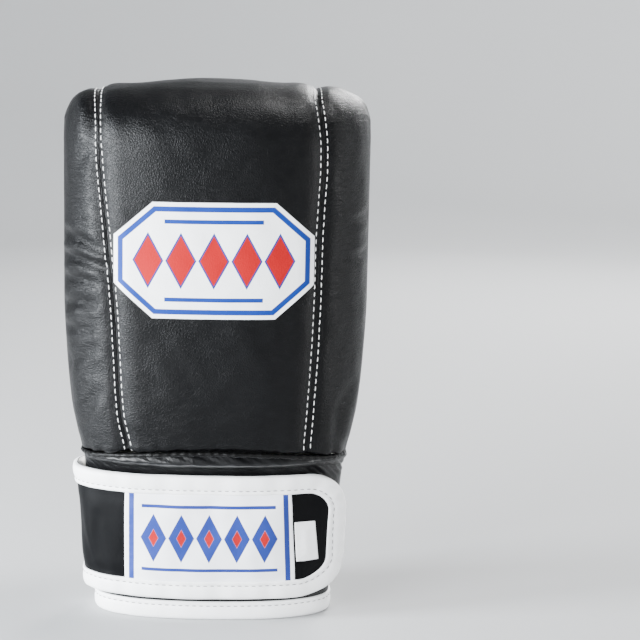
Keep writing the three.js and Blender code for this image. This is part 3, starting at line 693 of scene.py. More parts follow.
def joined(parts):
    """One mesh of several."""
    points, faces, count = [], [], 0
    for more, more_faces in parts:
        faces.extend([index + count for index in face] for face in more_faces)
        points.append(more)
        count += len(more)
    return np.concatenate(points), faces


def stitches_along(path, normals, pitch, share=0.7, radius=0.24):
    """Arched stitches along a path that lies on a surface with these normals."""
    run = run_of(path)
    turns = np.linspace(0, 2 * pi, 6, endpoint=False)[None, :, None]
    arch = np.sin(np.linspace(0.0, pi, 6))[:, None] ** 0.6
    for number in range(int(run[-1] / pitch)):
        at = (number + 0.5 + share * np.linspace(-0.5, 0.5, 6)) * pitch
        line = along_run(path, run, at)
        up = unit(along_run(normals, run, at))
        across = unit(np.cross(np.gradient(line, axis=0), up))
        middle = line + up * radius * (1.05 * arch - 0.75)
        section = np.cos(turns) * across[:, None] + np.sin(turns) * up[:, None]
        yield tube(middle[:, None] + radius * (0.55 + 0.45 * arch)[:, None] * section)


def add_stitches(name, rows, material, pitch, **sizes):
    stitches = [stitch for path, normals in rows for stitch in stitches_along(path, normals, pitch, **sizes)]
    add_piece(name, *joined(stitches), material, "white_tape")


def laid_on(tree, path, normals):
    """The same line moved along its normals onto a surface."""
    laid = []
    for point, normal in zip(path, normals):
        place = tree.ray_cast(Vector(point + normal * 8), Vector(-normal), 16)[0]
        laid.append(point if place is None else np.array(place))
    return eased(laid, 2)


def beside(smooth_tree, tree, path, gap):
    """A line on a surface, gap millimetres to the side of a path, and its normals."""
    places, normals = nearest(smooth_tree, path)
    for _ in range(4):
        normals[1:-1] = unit(normals[1:-1] * 0.5 + (normals[:-2] + normals[2:]) * 0.25)
    places = resample(places + unit(np.cross(np.gradient(path, axis=0), normals)) * gap, 0.8)
    normals = nearest(smooth_tree, places)[1]
    normals *= np.sign((normals * (places - np.array([0, -5, 200]))).sum(axis=-1, keepdims=True))
    return laid_on(tree, places, normals), normals


pad_thread_rows = [beside(smooth_pad_tree, pad_tree, pad_seam, gap) for gap in (-1.9, 1.9)]
add_stitches("pad_stitches", pad_thread_rows, white_thread, 3.7)


# Piping: a strip of the same hide folded over a cord and sewn in under the lower edge of the pad,
# all the way across the back. The thread that holds it draws it in a little at every stitch.
welt_radius = 1.25
clearance = 0.3
welt_line = []
for u in np.sin(np.linspace(radians(-88), radians(88), 260)):
    foot = float(pad_bottom(u * pad_foot_half))
    half = pad_half * track(pad_rows, "half", place_of(foot)) - welt_radius
    depth = pad_depth * track(pad_rows, "depth", place_of(foot)) - welt_radius
    welt_line.append((u * half, seam_y(foot) - depth * oval(u, 2.6), foot - clearance - welt_radius))
welt_line = resample(welt_line, 0.8)
welt_run = 0.8 * np.arange(len(welt_line))[:, None]
upward = np.array([0, 0, 1.0])
welt_side = unit(np.cross(unit(np.gradient(welt_line, axis=0)), upward))
drawn_in = welt_radius * (1 + 0.12 * np.sin(welt_run * 2 * pi / 4.2) + 0.07 * np.sin(welt_run * 0.37 / 0.8))
drift = 0.35 * np.sin(welt_run / 7.0) + 0.2 * np.sin(welt_run / 2.9)
turns = np.linspace(0, 2 * pi, 12, endpoint=False)[None, :, None]
section = 1.1 * np.cos(turns) * welt_side[:, None] + np.sin(turns) * upward
welt_rings = (welt_line + drift * welt_side)[:, None] + drawn_in[:, None] * section
add_piece("piping", *tube(welt_rings), black_hide_material, "black_leather", ("pad_welt",))


# Cuff leather: thin glossy black hide from the hem to the pad, which comes round to the palm at
# the little finger's side. Between strap and pad it is gathered into fine slanting wrinkles.
palm_half = pad_half - 1.7
leather = 1.6
hem_lift = 1.1
cuff_back_depth = 26
cuff_palm_depth = 29
strap_bottom = 13
strap_top = 75
sewn_end = 52.4


def across_share(t):
    return mix(np.cos(pi * t), 1 - 2 * t, 0.3)


def sleeve_half(z):
    return palm_half * track(sleeve_rows, "half", place_of(z))


def sleeve_point(t, z):
    """Outer face of the sleeve. t: 0 to 0.5 over the palm from +X, 0.5 to 1 back over the hand."""
    t = np.mod(t, 1)
    at = place_of(z)
    on_palm = t <= 0.5
    s = np.where(on_palm, across_share(2 * t), -across_share(2 * t - 1))
    arch = 1 - np.abs(s) ** 2.4
    form = mix(arch, oval(s, 2.3), track(sleeve_rows, "round", at))
    palm = seam_y(z) + cuff_palm_depth * track(sleeve_rows, "palm", at) * form
    back = seam_y(z) - cuff_back_depth * track(sleeve_rows, "back", at) * oval(s, 2.4)
    return np.stack([sleeve_half(z) * s, np.where(on_palm, palm, back), z + 0 * s], axis=-1)


def sleeve_out(t, z):
    gap = sleeve_point(t + 0.004, z) - sleeve_point(t - 0.004, z)
    return unit(np.stack([gap[..., 1], -gap[..., 0], 0 * gap[..., 0]], axis=-1))


def sleeve_offset(t, z, offset):
    """A point of the sleeve moved outward, square to its outline at that height."""
    t, z = np.broadcast_arrays(np.asarray(t, float), np.asarray(z, float))
    return sleeve_point(t, z) + sleeve_out(t, z) * np.broadcast_to(offset, t.shape)[..., None]


share_table = np.linspace(1, 0, 2001)


def palm_place(x, z):
    """t of a place along X on the palm's side."""
    return np.interp(x / sleeve_half(z), across_share(share_table), share_table) / 2


def back_place(x, z):
    return 0.5 + palm_place(-x, z)


side_line = np.array([(0, 52.4), (73.1, 52.4), (76.5, 57.6), (79.9, 65.0), (82.0, 74.0), (90, 90)], float)


def side_x(z):
    """X at which the cuff leather ends on the palm's side."""
    return np.interp(z, side_line[:, 0], side_line[:, 1])


cuff_columns = np.linspace(0, 1, 281)
cuff_rows = np.concatenate([np.linspace(0, 0.8, 24)[:-1], np.linspace(0.8, 1, 30)])
cuff_t = np.zeros((len(cuff_rows), len(cuff_columns)))
cuff_z = np.zeros_like(cuff_t)
for row, share in enumerate(cuff_rows):
    z_guess = mix(hem_lift, cuff_height - 0.6, share)
    cuff_t[row] = mix(0.5, 1 + palm_place(side_x(z_guess), z_guess), cuff_columns)
    x = sleeve_point(cuff_t[row], z_guess)[:, 0]
    cuff_z[row] = mix(hem_lift, pad_bottom(x) - 2.6, share)
run = cuff_t * pi * palm_half
gathered = smooth(strap_top - 5, strap_top + 3, cuff_z) * smooth(0.5, 0.53, cuff_t)
slanted = run + 1.6 * (cuff_z - strap_top) + 3.5 * np.sin(run / 17)
crinkle = 0.7 * np.sin(slanted * 2 * pi / 13) + 0.6 * np.sin(slanted * 2 * pi / 5.2 + 1.2 * np.sin(run / 11))
crinkle += 0.7 * ripple(sleeve_offset(cuff_t, cuff_z, 0), 12, 11)
ruffle = 1 + 1.3 * smooth(0.86, 0.97, cuff_t)
full = np.sin(pi * np.clip((cuff_z - strap_top) / 13.5, 0, 1)) ** 1.5
cuff_grid = sleeve_offset(cuff_t, cuff_z, gathered * (0.2 * ruffle * crinkle + 1.3 * full))

glossy_hide = Finish("glossy_black_hide")
vector = glossy_hide.place()[0]
fine = glossy_hide.noise(vector, 3.2, 5, (1, 1, 1.3), 1.5)
pores = glossy_hide.pores(vector, 0.9)
leaning = glossy_hide.node("ShaderNodeMapping", values={"Vector": vector, "Rotation": [0, radians(40), 0]})
drawn = glossy_hide.noise(leaning, 1.5, 3, (1, 0.5, 0.22), 0.6)
soft = glossy_hide.noise(vector, 22, 2)
glossy_hide_material = glossy_hide.close(
    Specular_IOR_Level=0.32,
    Base_Color=glossy_hide.blend(soft, (0.001, 0.0011, 0.0013), (0.0022, 0.0023, 0.0028)),
    Roughness=0.3 + 0.1 * soft,
    Normal=glossy_hide.bump(fine * 0.3 + drawn + pores * 0.06, 0.3, 0.8),
)
add_piece("cuff_leather", *shell(cuff_grid, leather), glossy_hide_material, "cuff_leather", ("cuff_back",))


# Lining: black woven cloth that covers the foam behind the hand, seen through the slit and from
# below. It is glued to the foam and hangs in shallow folds.
hollow_half = 62
hollow_back = 27
hollow_rows = table("at half back", [
    (0.96, 1.0, 1.12),
    (1.05, 1.0, 1.1),
    (1.22, 1.0, 1.0),
    (1.6, 1.0, 0.96),
    (1.648, 1.0, 0.95),
    (1.675, 0.99, 0.93),
    (1.76, 0.96, 0.86),
    (1.81, 0.86, 0.7),
    (1.84, 0.7, 0.5),
])
lining_at = np.concatenate([np.linspace(1.012, 1.8, 60), np.linspace(1.8, 1.84, 12)[1:]])[:, None]
lining_turn = np.linspace(pi * 1.03, pi * 1.97, 110)
lining_z = np.minimum(height_at(lining_at), overall_height - 28)
lining_half = hollow_half * track(hollow_rows, "half", lining_at) - 0.4
lining_back = hollow_back * track(hollow_rows, "back", lining_at) - 0.4
lining_x = lining_half * signed_power(np.cos(lining_turn), 0.85)
lining_y = seam_y(lining_z) + lining_back * signed_power(np.sin(lining_turn), 0.85)
lining_grid = np.stack([lining_x, lining_y, lining_z + 0 * lining_x], axis=-1)
lining_tip = lining_grid[-1].mean(axis=0)
lining_end = [mix(lining_grid[-1], lining_tip, share) for share in (0.3, 0.6, 0.92)]
lining_grid = np.concatenate([lining_grid, lining_end])
lining_swell = 0.35 + 0.3 * ripple(lining_grid, 24, 21)
lining_grid = lining_grid + grid_normals(lining_grid) * lining_swell[..., None]
cloth = Finish("black_lining_cloth")
vector, px, py, pz = cloth.place()
weave = 0.5 + 0.5 * (px * 9.0).wave() * (pz * 9.0).wave()
cloth_material = cloth.close(
    Base_Color=cloth.blend(weave, (0.006, 0.006, 0.007), (0.017, 0.017, 0.019)),
    Roughness=0.9,
    Normal=cloth.bump(weave, 0.1, 0.5),
)
add_piece("hand_lining_cloth", *shell(lining_grid, 1.1), cloth_material, "black_lining", ("hand_lining",))


# Palm leather: soft warm white hide, sewn to the pad along both sides and tucked under the roll.
# It is cut by the slit, whose edges meet above it, and ends in two rounded flaps at the hem.
slit_top = 153
slit_half = 5.3
slit_shift = -1.2
flap_corner = 15
tape_leaf = 0.8
finger_seam_height = overall_height - 67
tuck = 4
slit_rows = table("up left right", [
    (0.0, 0.05, 0.3),
    (0.1, 0.05, 0.32),
    (0.3, 0.15, 0.75),
    (0.5, 0.4, 1.3),
    (0.65, 0.85, 1.25),
    (0.79, 1.12, 0.88),
    (0.9, 0.8, 0.6),
    (1.0, 0.0, 0.0),
])
palm_folds = [
    (78, 152, 40, 118, 0.9, 4.0),
    (78, 118, 48, 97, 0.9, 3.4),
    (77, 176, 52, 158, 0.7, 3.6),
    (12, 128, 30, 98, 0.8, 4.0),
    (8, 160, 26, 138, 0.6, 3.6),
    (32, 202, 60, 190, 0.5, 3.4),
    (-20, 88, -44, 99, 0.9, 3.6),
    (-10, 104, -24, 116, 0.6, 3.0),
]


def slit_edge(side, z):
    """X of the slit's left or right edge at a height, with the rounded flap at the hem."""
    open_half = slit_half * track(slit_rows, side, np.maximum(z, flap_corner) / slit_top, "up")
    drop = np.clip(flap_corner - z, 0, flap_corner)
    round_off = flap_corner - np.sqrt(np.maximum(flap_corner**2 - drop**2, 0))
    return slit_shift + (-1 if side == "left" else 1) * (open_half + round_off)


def level(value):
    """An edge that keeps the same value all along."""
    def at(place):
        return value + 0.0 * place

    return at


def palm_sheet(low, high, first, last, rows, columns):
    """Places over the palm, as t and z: heights low to high, each from first to last along X."""
    across = np.linspace(0, 1, columns)
    bulge = mix(across, 0.5 - 0.5 * np.cos(pi * across), 0.35)
    t, z = np.zeros((2, rows, columns))
    x = mix(first(150.0), last(150.0), across)
    for row, share in enumerate(np.linspace(0, 1, rows)):
        z[row] = mix(low(x), high(x), share)
        half = sleeve_half(z[row])
        x = mix(np.maximum(first(z[row]), -half), np.minimum(last(z[row]), half), bulge)
        t[row] = palm_place(x, z[row])
    return t, z


def palm_relief(points):
    """How far the palm leather stands out: soft swelling, creases, and the sunk seam at the fingers."""
    x, z = points[..., 0], points[..., 2]
    relief = -1.5 * fold_depth(points, palm_folds)
    relief += 0.55 * ripple(points, 30, 31) + 0.2 * ripple(points, 10, 32)
    relief += 0.5 * smooth(18, 2, roll_edge(x) - z) * np.sin(x * 2 * pi / 11 + np.sin(x * 0.2))
    relief *= smooth(0, 9, sleeve_half(z) - np.abs(x)) * smooth(12, 26, z)
    return relief - 0.9 * hump((z - finger_seam_height) / 1.2)


def palm_leather_at(t, z):
    return sleeve_offset(t, z, palm_relief(sleeve_offset(t, z, 0)))


white_hide = Finish("soft_white_hide")
vector = white_hide.place()[0]
broad = white_hide.noise(vector, 30, 3)
slanted_vector = white_hide.node(
    "ShaderNodeMapping", values={"Vector": vector, "Rotation": [0, radians(38), 0], "Scale": [1, 1, 2.6]}
)
drawn = white_hide.noise(slanted_vector, 9, 4, (1, 1, 1), 1.0)
drawn_creases = 1 - abs(drawn - 0.5).step(0.0, 0.06)
fine = white_hide.noise(vector, 4.5, 6, (1, 1, 1), 1.6)
veins = 1 - abs(fine - 0.5).step(0.0, 0.035)
pores = white_hide.pores(vector, 0.95)
white_colour = white_hide.blend(broad, (0.44, 0.42, 0.375), (0.55, 0.53, 0.485))
white_colour = white_hide.blend(veins * 0.3, white_colour, (0.3, 0.28, 0.235))
white_grain = fine * 0.8 - veins * 0.3 + pores * 0.2 + drawn * 0.7 - drawn_creases * 0.6
white_hide_material = white_hide.close(
    Base_Color=white_colour,
    Roughness=0.4 + 0.14 * fine,
    Normal=white_hide.bump(white_grain, 0.3, 0.7),
)


def left_slit_edge(z):
    return slit_edge("left", z)


def right_slit_edge(z):
    return slit_edge("right", z)


def cuff_edge(z):
    return side_x(z) + 0.3


def roll_tuck(x):
    return roll_edge(x) + tuck


below_seam, above_seam = level(finger_seam_height - 0.2), level(finger_seam_height + 0.2)
far_left, far_right = level(-200.0), level(200.0)
palm_halves = []
for first, last in ((far_left, left_slit_edge), (right_slit_edge, cuff_edge)):
    half_grid = palm_leather_at(*palm_sheet(level(hem_lift), below_seam, first, last, 170, 62))
    palm_halves.append(shell(half_grid[:, ::-1], leather))
add_piece("palm_leather", *joined(palm_halves), white_hide_material, "white_leather", ("palm_panel",))

finger_grid = palm_leather_at(*palm_sheet(above_seam, roll_tuck, far_left, far_right, 44, 120))
finger_shell = shell(finger_grid[:, ::-1], leather)
add_piece("finger_leather", *finger_shell, white_hide_material, "white_leather", ("palm_finger_panel",))


# Edge tape: a strip of smooth white hide folded over the edge of hem and slit and sewn through
# near its inner edge, in one run from flap to flap and over the point of the slit.
tape_width = 8.5
tape = Finish("smooth_white_tape")
vector = tape.place()[0]
fine = tape.noise(vector, 2.6, 4)
soft = tape.noise(vector, 16, 2)
tape_material = tape.close(
    Base_Color=tape.blend(soft, (0.88, 0.885, 0.885), (0.95, 0.95, 0.95)),
    Roughness=0.42 + 0.14 * fine,
    Normal=tape.bump(fine, 0.12, 0.5),
)


def tape_section(thick, inner):
    """Section of folded tape over leather: how far in from the edge, and how far out from it."""
    top = thick + 1.0
    low = -inner - 1.0
    middle = (top + low) / 2
    return np.array([
        (tape_width, thick - 0.1), (tape_width, top - 0.5), (tape_width - 0.3, top - 0.12),
        (tape_width - 0.9, top), (tape_width - 1.6, top - 0.1), (tape_width - 2.2, top - 0.4),
        (tape_width - 2.8, top - 0.1), (tape_width - 4.2, top + 0.22), (2.2, top + 0.25),
        (0.8, top + 0.12), (-0.3, top - 0.3),
        (-0.95, mix(middle, top, 0.45)), (-1.15, middle), (-0.95, mix(middle, low, 0.45)), (-0.3, low + 0.3),
        (0.8, low), (3.0, low), (tape_width - 1, low), (tape_width, low + 0.4), (tape_width, -inner + 0.1),
    ])


def slit_path():
    """Outline of the open slit from the left hem corner over the point to the right hem corner."""
    corner_turn = np.linspace(0, pi / 2, 26)[:-1]
    z = np.linspace(flap_corner, slit_top - 2.2, 110)
    halves = []
    for side, sign in (("left", -1), ("right", 1)):
        corner_x = slit_edge(side, np.array(flap_corner)) + sign * flap_corner * (1 - np.sin(corner_turn))
        corner = np.stack([corner_x, flap_corner * (1 - np.cos(corner_turn))], -1)
        near_x = slit_shift + sign * 0.7 * slit_half * track(slit_rows, side, 0.99, "up")
        straight = np.stack([slit_edge(side, z), z], -1)
        halves.append(np.concatenate([corner, straight, [(near_x, slit_top - 0.7)]]))
    return np.concatenate([halves[0], [(slit_shift, slit_top)], halves[1][::-1]])


def evenly(path, pitch):
    run = run_of(path)
    return along_run(path, run, np.linspace(0, run[-1], int(run[-1] / pitch) + 1))


def taped(line, section):
    """Places across a tape whose edge is a line, with the inner side to the line's left."""
    along = unit(np.gradient(line, axis=0))
    return line[:, None] + np.stack([-along[:, 1], along[:, 0]], axis=-1)[:, None] * section[None, :, :1]


groove = 5
tape_form = tape_section(0.3, leather + 0.3)
slit_line = evenly(slit_path(), 1.0)
slit_places = eased(taped(slit_line, tape_form), 14)
slit_z = np.maximum(slit_places[..., 1], 0.3)
slit_t = palm_place(slit_places[..., 0], slit_z)
slit_rings = sleeve_offset(slit_t, slit_z, tape_form[None, :, 1])
slit_out = sleeve_out(slit_t[:, groove], slit_places[:, groove, 1])
slit_tape = add_piece("slit_tape", *tube(slit_rings), tape_material, "white_tape")

flap_left_t = palm_place(slit_line[0][0] + 0.5, 0.5)
flap_right_t = palm_place(slit_line[-1][0] - 0.5, 0.5)
hem_t = np.linspace(flap_left_t, 1 + flap_right_t, 420)[:, None]
hem_wave = 0.25 * np.sin(hem_t * 61) + 0.15 * np.sin(hem_t * 143 + 1)
hem_offset = tape_form[:, 1] + np.where(tape_form[:, 0] > 2, 0.4, 0.1) * hem_wave
hem_rings = sleeve_offset(hem_t, np.maximum(tape_form[:, 0], 0), hem_offset)
hem_rings[..., 2] = tape_form[:, 0] + 1.15
hem_out = sleeve_out(hem_t[:, 0], tape_form[groove, 0])
add_piece("hem_tape", *tube(hem_rings), tape_material, "white_tape", ("edge_tape",))
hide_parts("edge_tape")
# The thread on the tapes, palm, thumb and strap is white but painted dark grey. This is painted shade: it
# stands in for the shadow in the stitch holes and beside each stitch.
thread_with_painted_shade = thread_finish("white_thread_with_painted_shade", (0.06, 0.06, 0.065), (0.16, 0.16, 0.16))
hem_row = hem_rings[4:-4, groove], hem_out[4:-4]
slit_row = slit_rings[3:-3, groove], slit_out[3:-3]
add_stitches("edge_stitches", [hem_row, slit_row], thread_with_painted_shade, 3.5)
finger_rows = []
for z in (203.0, 207.0):
    t = palm_place(np.linspace(48, 73, 60), np.full(60, z))
    finger_rows.append((palm_leather_at(t, z), sleeve_out(t, z)))
add_stitches("palm_stitches", finger_rows, thread_with_painted_shade, 3.3, radius=0.25)


# Thumb pocket: two pieces of the white hide, sewn into the palm as a hollow finger that points up
# under the roll. The lower piece bulges, the upper one meets it in a slanting seam.
thumb_half = 26.5
thumb_rows = table("at centre half rear front", [
    (1.09, -0.64, 0.5, -0.2, 0.36),
    (1.12, -0.645, 0.8, -0.25, 0.52),
    (1.19, -0.625, 0.96, -0.25, 0.7),
    (1.3, -0.575, 0.97, -0.2, 0.88),
    (1.4, -0.51, 0.96, 0.15, 0.97),
    (1.48, -0.435, 0.94, 0.22, 1.0),
    (1.56, -0.355, 0.89, 0.25, 1.0),
    (1.61, -0.305, 0.76, 0.28, 0.94),
    (1.635, -0.285, 0.56, 0.34, 0.85),
    (1.648, -0.275, 0.34, 0.42, 0.75),
])
crease_x, crease_up, crease_slope = -0.047, 0.549, 0.43
thumb_folds = [
    (-6, 186, -34, 171, 1.0, 3.2),
    (-8, 180, -30, 158, 0.8, 3.0),
    (-12, 172, -26, 146, 0.7, 3.0),
    (-4, 196, -28, 196, 0.8, 2.8),
    (-8, 203, -34, 201, 0.6, 2.6),
    (-62, 178, -50, 172, 0.2, 3.0),
    (-68, 150, -50, 144, 0.5, 3.4),
    (-70, 130, -52, 127, 0.4, 3.4),
]


def thumb_point(turn, at):
    """Outer face of the thumb pocket: turn 0 towards the slit, a quarter turn to its front."""
    seam = seam_y(height_at(at))
    rear = seam + thumb_reach * track(thumb_rows, "rear", at)
    front = seam + thumb_reach * track(thumb_rows, "front", at)
    s = signed_power(np.cos(turn), 0.9)
    c = signed_power(np.sin(turn), 0.9)
    x = palm_half * track(thumb_rows, "centre", at) + thumb_half * track(thumb_rows, "half", at) * s
    return np.stack([x, mix(rear, front, (c + 1) / 2), height_at(at) + 0 * c], axis=-1)


def palm_gap(points):
    """How far points stand out of the palm leather."""
    x, z = points[..., 0], points[..., 2]
    return points[..., 1] - sleeve_point(palm_place(x, z), z)[..., 1]


def last_under(standing_out, turns):
    """The highest turn at which the pocket is still within the palm leather."""
    return turns[0] if standing_out.all() else turns[len(turns) - 1 - np.argmin(standing_out[::-1])]


def thumb_limits(at):
    """Turns between which the pocket stands out of the palm leather at one height."""
    turns = np.linspace(-pi / 2, pi / 2, 181)
    sides = [palm_gap(thumb_point(side, np.full_like(turns, at))) > -1.5 for side in (turns, pi - turns)]
    return last_under(sides[0], turns), pi - last_under(sides[1], turns)


def crease_height(x):
    return cuff_height + crease_up * pad_height + crease_slope * (x - crease_x * palm_half)


thumb_low, thumb_high = thumb_rows["at"][[0, -1]]
at_samples = np.linspace(thumb_low, thumb_high, 240)
limit_table = eased([thumb_limits(at) for at in at_samples], 6)


def thumb_part(upper, rows, columns):
    """Grid of the upper or lower piece, up to the slanting seam."""
    share = np.linspace(0, 1, columns)
    up = np.linspace(0, 1, rows)
    grid_at = np.zeros((rows, columns))
    for j, across in enumerate(share):
        line = thumb_point(mix(limit_table[:, 0], limit_table[:, 1], across), at_samples)
        above = line[:, 2] > crease_height(line[:, 0])
        seam_at = at_samples[np.argmax(above)] if above.any() else at_samples[-1]
        if upper:
            grid_at[:, j] = mix(seam_at + 0.001, thumb_high, up**0.9)
        else:
            grid_at[:, j] = mix(thumb_low, seam_at - 0.001, 1 - (1 - up) ** 1.1)
    first, last = (np.interp(grid_at, at_samples, limits) for limits in limit_table.T)
    return thumb_point(mix(first, last, share[None]), grid_at)


def thumb_relief(grid, upper):
    """How far the pocket's leather stands out: folds, puckers at the seam, and the sunk seam."""
    x, z = grid[..., 0], grid[..., 2]
    away = np.abs(z - crease_height(x))
    relief = 0.4 * hump((away - 7) / 4.0) - 1.6 * fold_depth(grid, thumb_folds) - 0.9 * hump(away / 1.3)
    relief -= (1.5 if upper else 0.5) * hump(away / 4.5) * smooth(-30, -56, x)
    relief += (0.25 if upper else 0.4) * hump(away / 8) * np.sin(x * 2 * pi / 7.5 + np.sin(x * 0.3))
    return relief + 0.5 * ripple(grid, 26, 41) + 0.18 * ripple(grid, 9, 42)


thumb_leather = 1.9
upper_grid = thumb_part(True, 60, 96)
tip = upper_grid[-1].mean(axis=0)
tip_rows = (0.25, 0.9), (0.6, 1.4), (0.93, 1.5)
tip_caps = [mix(upper_grid[-1], tip, share) + np.array([0, 0, rise]) for share, rise in tip_rows]
upper_grid = np.concatenate([upper_grid, tip_caps])
for name, grid, node in (
    ("thumb_upper_leather", upper_grid, "thumb_upper"),
    ("thumb_lower_leather", thumb_part(False, 96, 96), "thumb_lower"),
):
    normals = grid_normals(grid)
    outward = np.sign((normals[..., 1]).sum())
    relief = thumb_relief(grid, node == "thumb_upper")
    grid = (grid + outward * normals * relief[..., None])[:, :: int(outward)]
    add_piece(name, *shell(grid, thumb_leather), white_hide_material, "white_leather", (node,))
thumb_lower_tree = grid_tree(grid)

seam_low, seam_high = (np.array(corner) * 1000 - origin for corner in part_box("thumb_seam"))
seam_middle, seam_half = (seam_low + seam_high) / 2, (seam_high - seam_low) / 2
turns = np.linspace(0, 2 * pi, 29)[:-1]
up = np.linspace(0, 1, 30)[:, None]
narrow = 1 - 0.25 * np.abs(2 * up - 1) ** 4
rim_x = seam_middle[0] + seam_half[0] * narrow * signed_power(np.cos(turns), 0.55)
rim_depth = (seam_half[1] + 0.1) * narrow
rim_y = seam_middle[1] + 0.25 * np.sin(up * 13) + rim_depth * signed_power(np.sin(turns), 0.55)
rim_rings = np.stack([rim_x, rim_y, mix(seam_low[2], seam_high[2], up) + 0 * rim_x], axis=-1)
add_piece("thumb_seam_rim", *tube(rim_rings), white_hide_material, "white_leather", ("thumb_seam",))


def laid_row(tree, places):
    """A line of places in X and Z, laid from the palm's side onto a surface, and its normals."""
    laid, normals = [], []
    for x, z in eased(evenly(np.array(places, float), 1.0), 6):
        place, normal = tree.ray_cast(Vector((x, 200, z)), Vector((0, -1, 0)))[:2]
        if place is not None:
            laid.append(np.array(place))
            normals.append(np.array(normal) * (1 if normal.y > 0 else -1))
    return np.array(laid), np.array(normals)


thread_lines = [
    [(-21.4, 139.1), (-25.5, 123.1), (-30.1, 112.9), (-35.8, 107.8), (-43.3, 104.6), (-52, 104.4), (-58, 107)],
    [(-24.6, 138.0), (-28.6, 124.5), (-32.6, 116), (-37.6, 111.6), (-43.8, 108.6), (-51, 108.2), (-56, 110.5)],
]
thumb_rows_of_thread = [laid_row(thumb_lower_tree, line) for line in thread_lines]
add_stitches("thumb_stitches", thumb_rows_of_thread, thread_with_painted_shade, 3.3, radius=0.25)


# Wrist strap: smooth black hide over a thin felt, sewn into the cuff at the palm and wrapped round
# to the back, where its rounded end is held by hook and loop. White tape binds it all round.
strap_thickness = 2.6
strap_end_radius = 19
strap_lift = 1.6
strap_inner = 2 * clearance + tape_leaf
strap_outer = strap_inner + strap_thickness
strap_trip = pi * palm_half
strap_from = float(palm_place(sewn_end, strap_top))
strap_to = 0.967
strap_lean = 0.0005


def strap_point(t, z, offset):
    """Place over the sleeve, on the strap's own rise over the slit and at its free end."""
    t, z = np.broadcast_arrays(np.asarray(t, float), np.asarray(z, float))
    t = t + (palm_place(sewn_end + 0.4, z) - strap_from) * (1 - smooth(strap_from, strap_from + 0.1, t))
    t = t + strap_lean * (strap_top - z) * smooth(0.9, strap_to - 0.002, t)
    over_slit = (tape_leaf + clearance) * (1 - smooth(0.09, 0.16, np.abs(t - 0.25)))
    rise = strap_lift * smooth(0.9, 1, t) + over_slit + 1.2 * hump((t - 0.5) / 0.05)
    drape = 0.35 * np.sin(t * 37 + z * 0.05) * smooth(0.02, 0.08, np.abs(t - 0.5))
    drape = drape + 0.2 * np.sin(t * 83 - z * 0.11)
    return sleeve_offset(t, z, rise + 0.8 * drape + offset)


strap_columns = np.linspace(strap_from, 0.9, 260)[:-1]
strap_columns = np.concatenate([strap_columns, mix(0.9, strap_to, np.sin(np.linspace(0, pi / 2, 60)))])
to_round = np.clip(strap_end_radius - (strap_to - strap_columns) * strap_trip, 0, strap_end_radius)
rounding = strap_end_radius - np.sqrt(strap_end_radius**2 - to_round**2)
strap_z = mix(strap_bottom + rounding, strap_top - rounding, np.linspace(0, 1, 52)[:, None])
strap_t = np.broadcast_to(strap_columns, strap_z.shape)
strap_folds = [
    (126, 30, 121, 62, 0.5, 3.0),
    (113, 22, 117, 58, 0.5, 2.6),
    (136, 24, 133, 52, 0.4, 2.4),
    (96, 60, 100, 26, 0.4, 3.0),
    (60, 26, 66, 60, 0.3, 3.0),
]


def strap_relief(t, z):
    """How far the strap's face swells between its tapes, or sinks into a fold."""
    flat = np.stack([t * strap_trip, 0 * z, z], axis=-1)
    inset = np.minimum(z - strap_bottom, strap_top - z)
    swell = 0.5 * smooth(tape_width, tape_width + 8, inset) + 0.25 * ripple(flat, 26, 51)
    return (swell - fold_depth(flat, strap_folds)) * smooth(0, 4, inset)


strap_grid = strap_point(strap_t, strap_z, strap_outer + strap_relief(strap_t, strap_z))
strap_hide = Finish("smooth_black_strap_hide")
vector = strap_hide.place()[0]
fine = strap_hide.noise(vector, 5, 5, (1, 1, 0.7), 1.2)
pores = strap_hide.pores(vector, 0.8)
soft = strap_hide.noise(vector, 26, 2)
strap_hide_material = strap_hide.close(
    Specular_IOR_Level=0.06,
    Base_Color=strap_hide.blend(soft, (0.001, 0.0011, 0.0013), (0.0022, 0.0023, 0.0028)),
    Roughness=0.42 + 0.14 * soft,
    Normal=strap_hide.bump(fine * 0.6 + pores * 0.12, 0.2, 0.6),
)
strap_band = shell(strap_grid, strap_thickness)
add_piece("strap_leather_band", *strap_band, strap_hide_material, "strap_leather", ("wrist_strap",))

end_turn = np.linspace(-pi / 2, pi / 2, 90)
low_turn, high_turn = end_turn[:45], end_turn[45:]
start_run, end_run = strap_from * strap_trip, strap_to * strap_trip - strap_end_radius
low_middle, high_middle = strap_bottom + strap_end_radius, strap_top - strap_end_radius


def strap_corner(turn, middle):
    return np.stack([end_run + strap_end_radius * np.cos(turn), middle + strap_end_radius * np.sin(turn)], -1)


strap_line = evenly(np.concatenate([
    np.stack([np.linspace(start_run, end_run, 300)[:-1], np.full(299, strap_bottom)], -1),
    strap_corner(low_turn, low_middle),
    np.stack([np.full(20, end_run + strap_end_radius), np.linspace(low_middle, high_middle, 20)], -1),
    strap_corner(high_turn, high_middle),
    np.stack([np.linspace(end_run, start_run, 300)[1:], np.full(299, strap_top)], -1),
]), 1.1)
strap_section = tape_section(strap_outer + 0.3, -strap_inner + 0.3)
band = taped(strap_line, strap_section)
band_wave = 0.12 * np.sin(np.arange(len(strap_line)) * 1.1 * 2 * pi / 9)[:, None]
band_offset = strap_section[:, 1] + np.where(strap_section[:, 1] > strap_outer, band_wave, 0)
band_rings = strap_point(band[..., 0] / strap_trip, band[..., 1], band_offset)
add_piece("strap_binding", *tube(band_rings), tape_material, "white_tape", ("strap_tape",))
band_row = band_rings[6:-6, groove]
band_foot = strap_point(band[6:-6, groove, 0] / strap_trip, band[6:-6, groove, 1], 0)
add_stitches("strap_stitches", [(band_row, unit(band_row - band_foot))], thread_with_painted_shade, 3.5)
bar_z = np.linspace(strap_bottom + 10.5, strap_top - 9.5, 60)
bar_t = palm_place(27.6 + 0.3 * np.sin(bar_z / 9), bar_z)
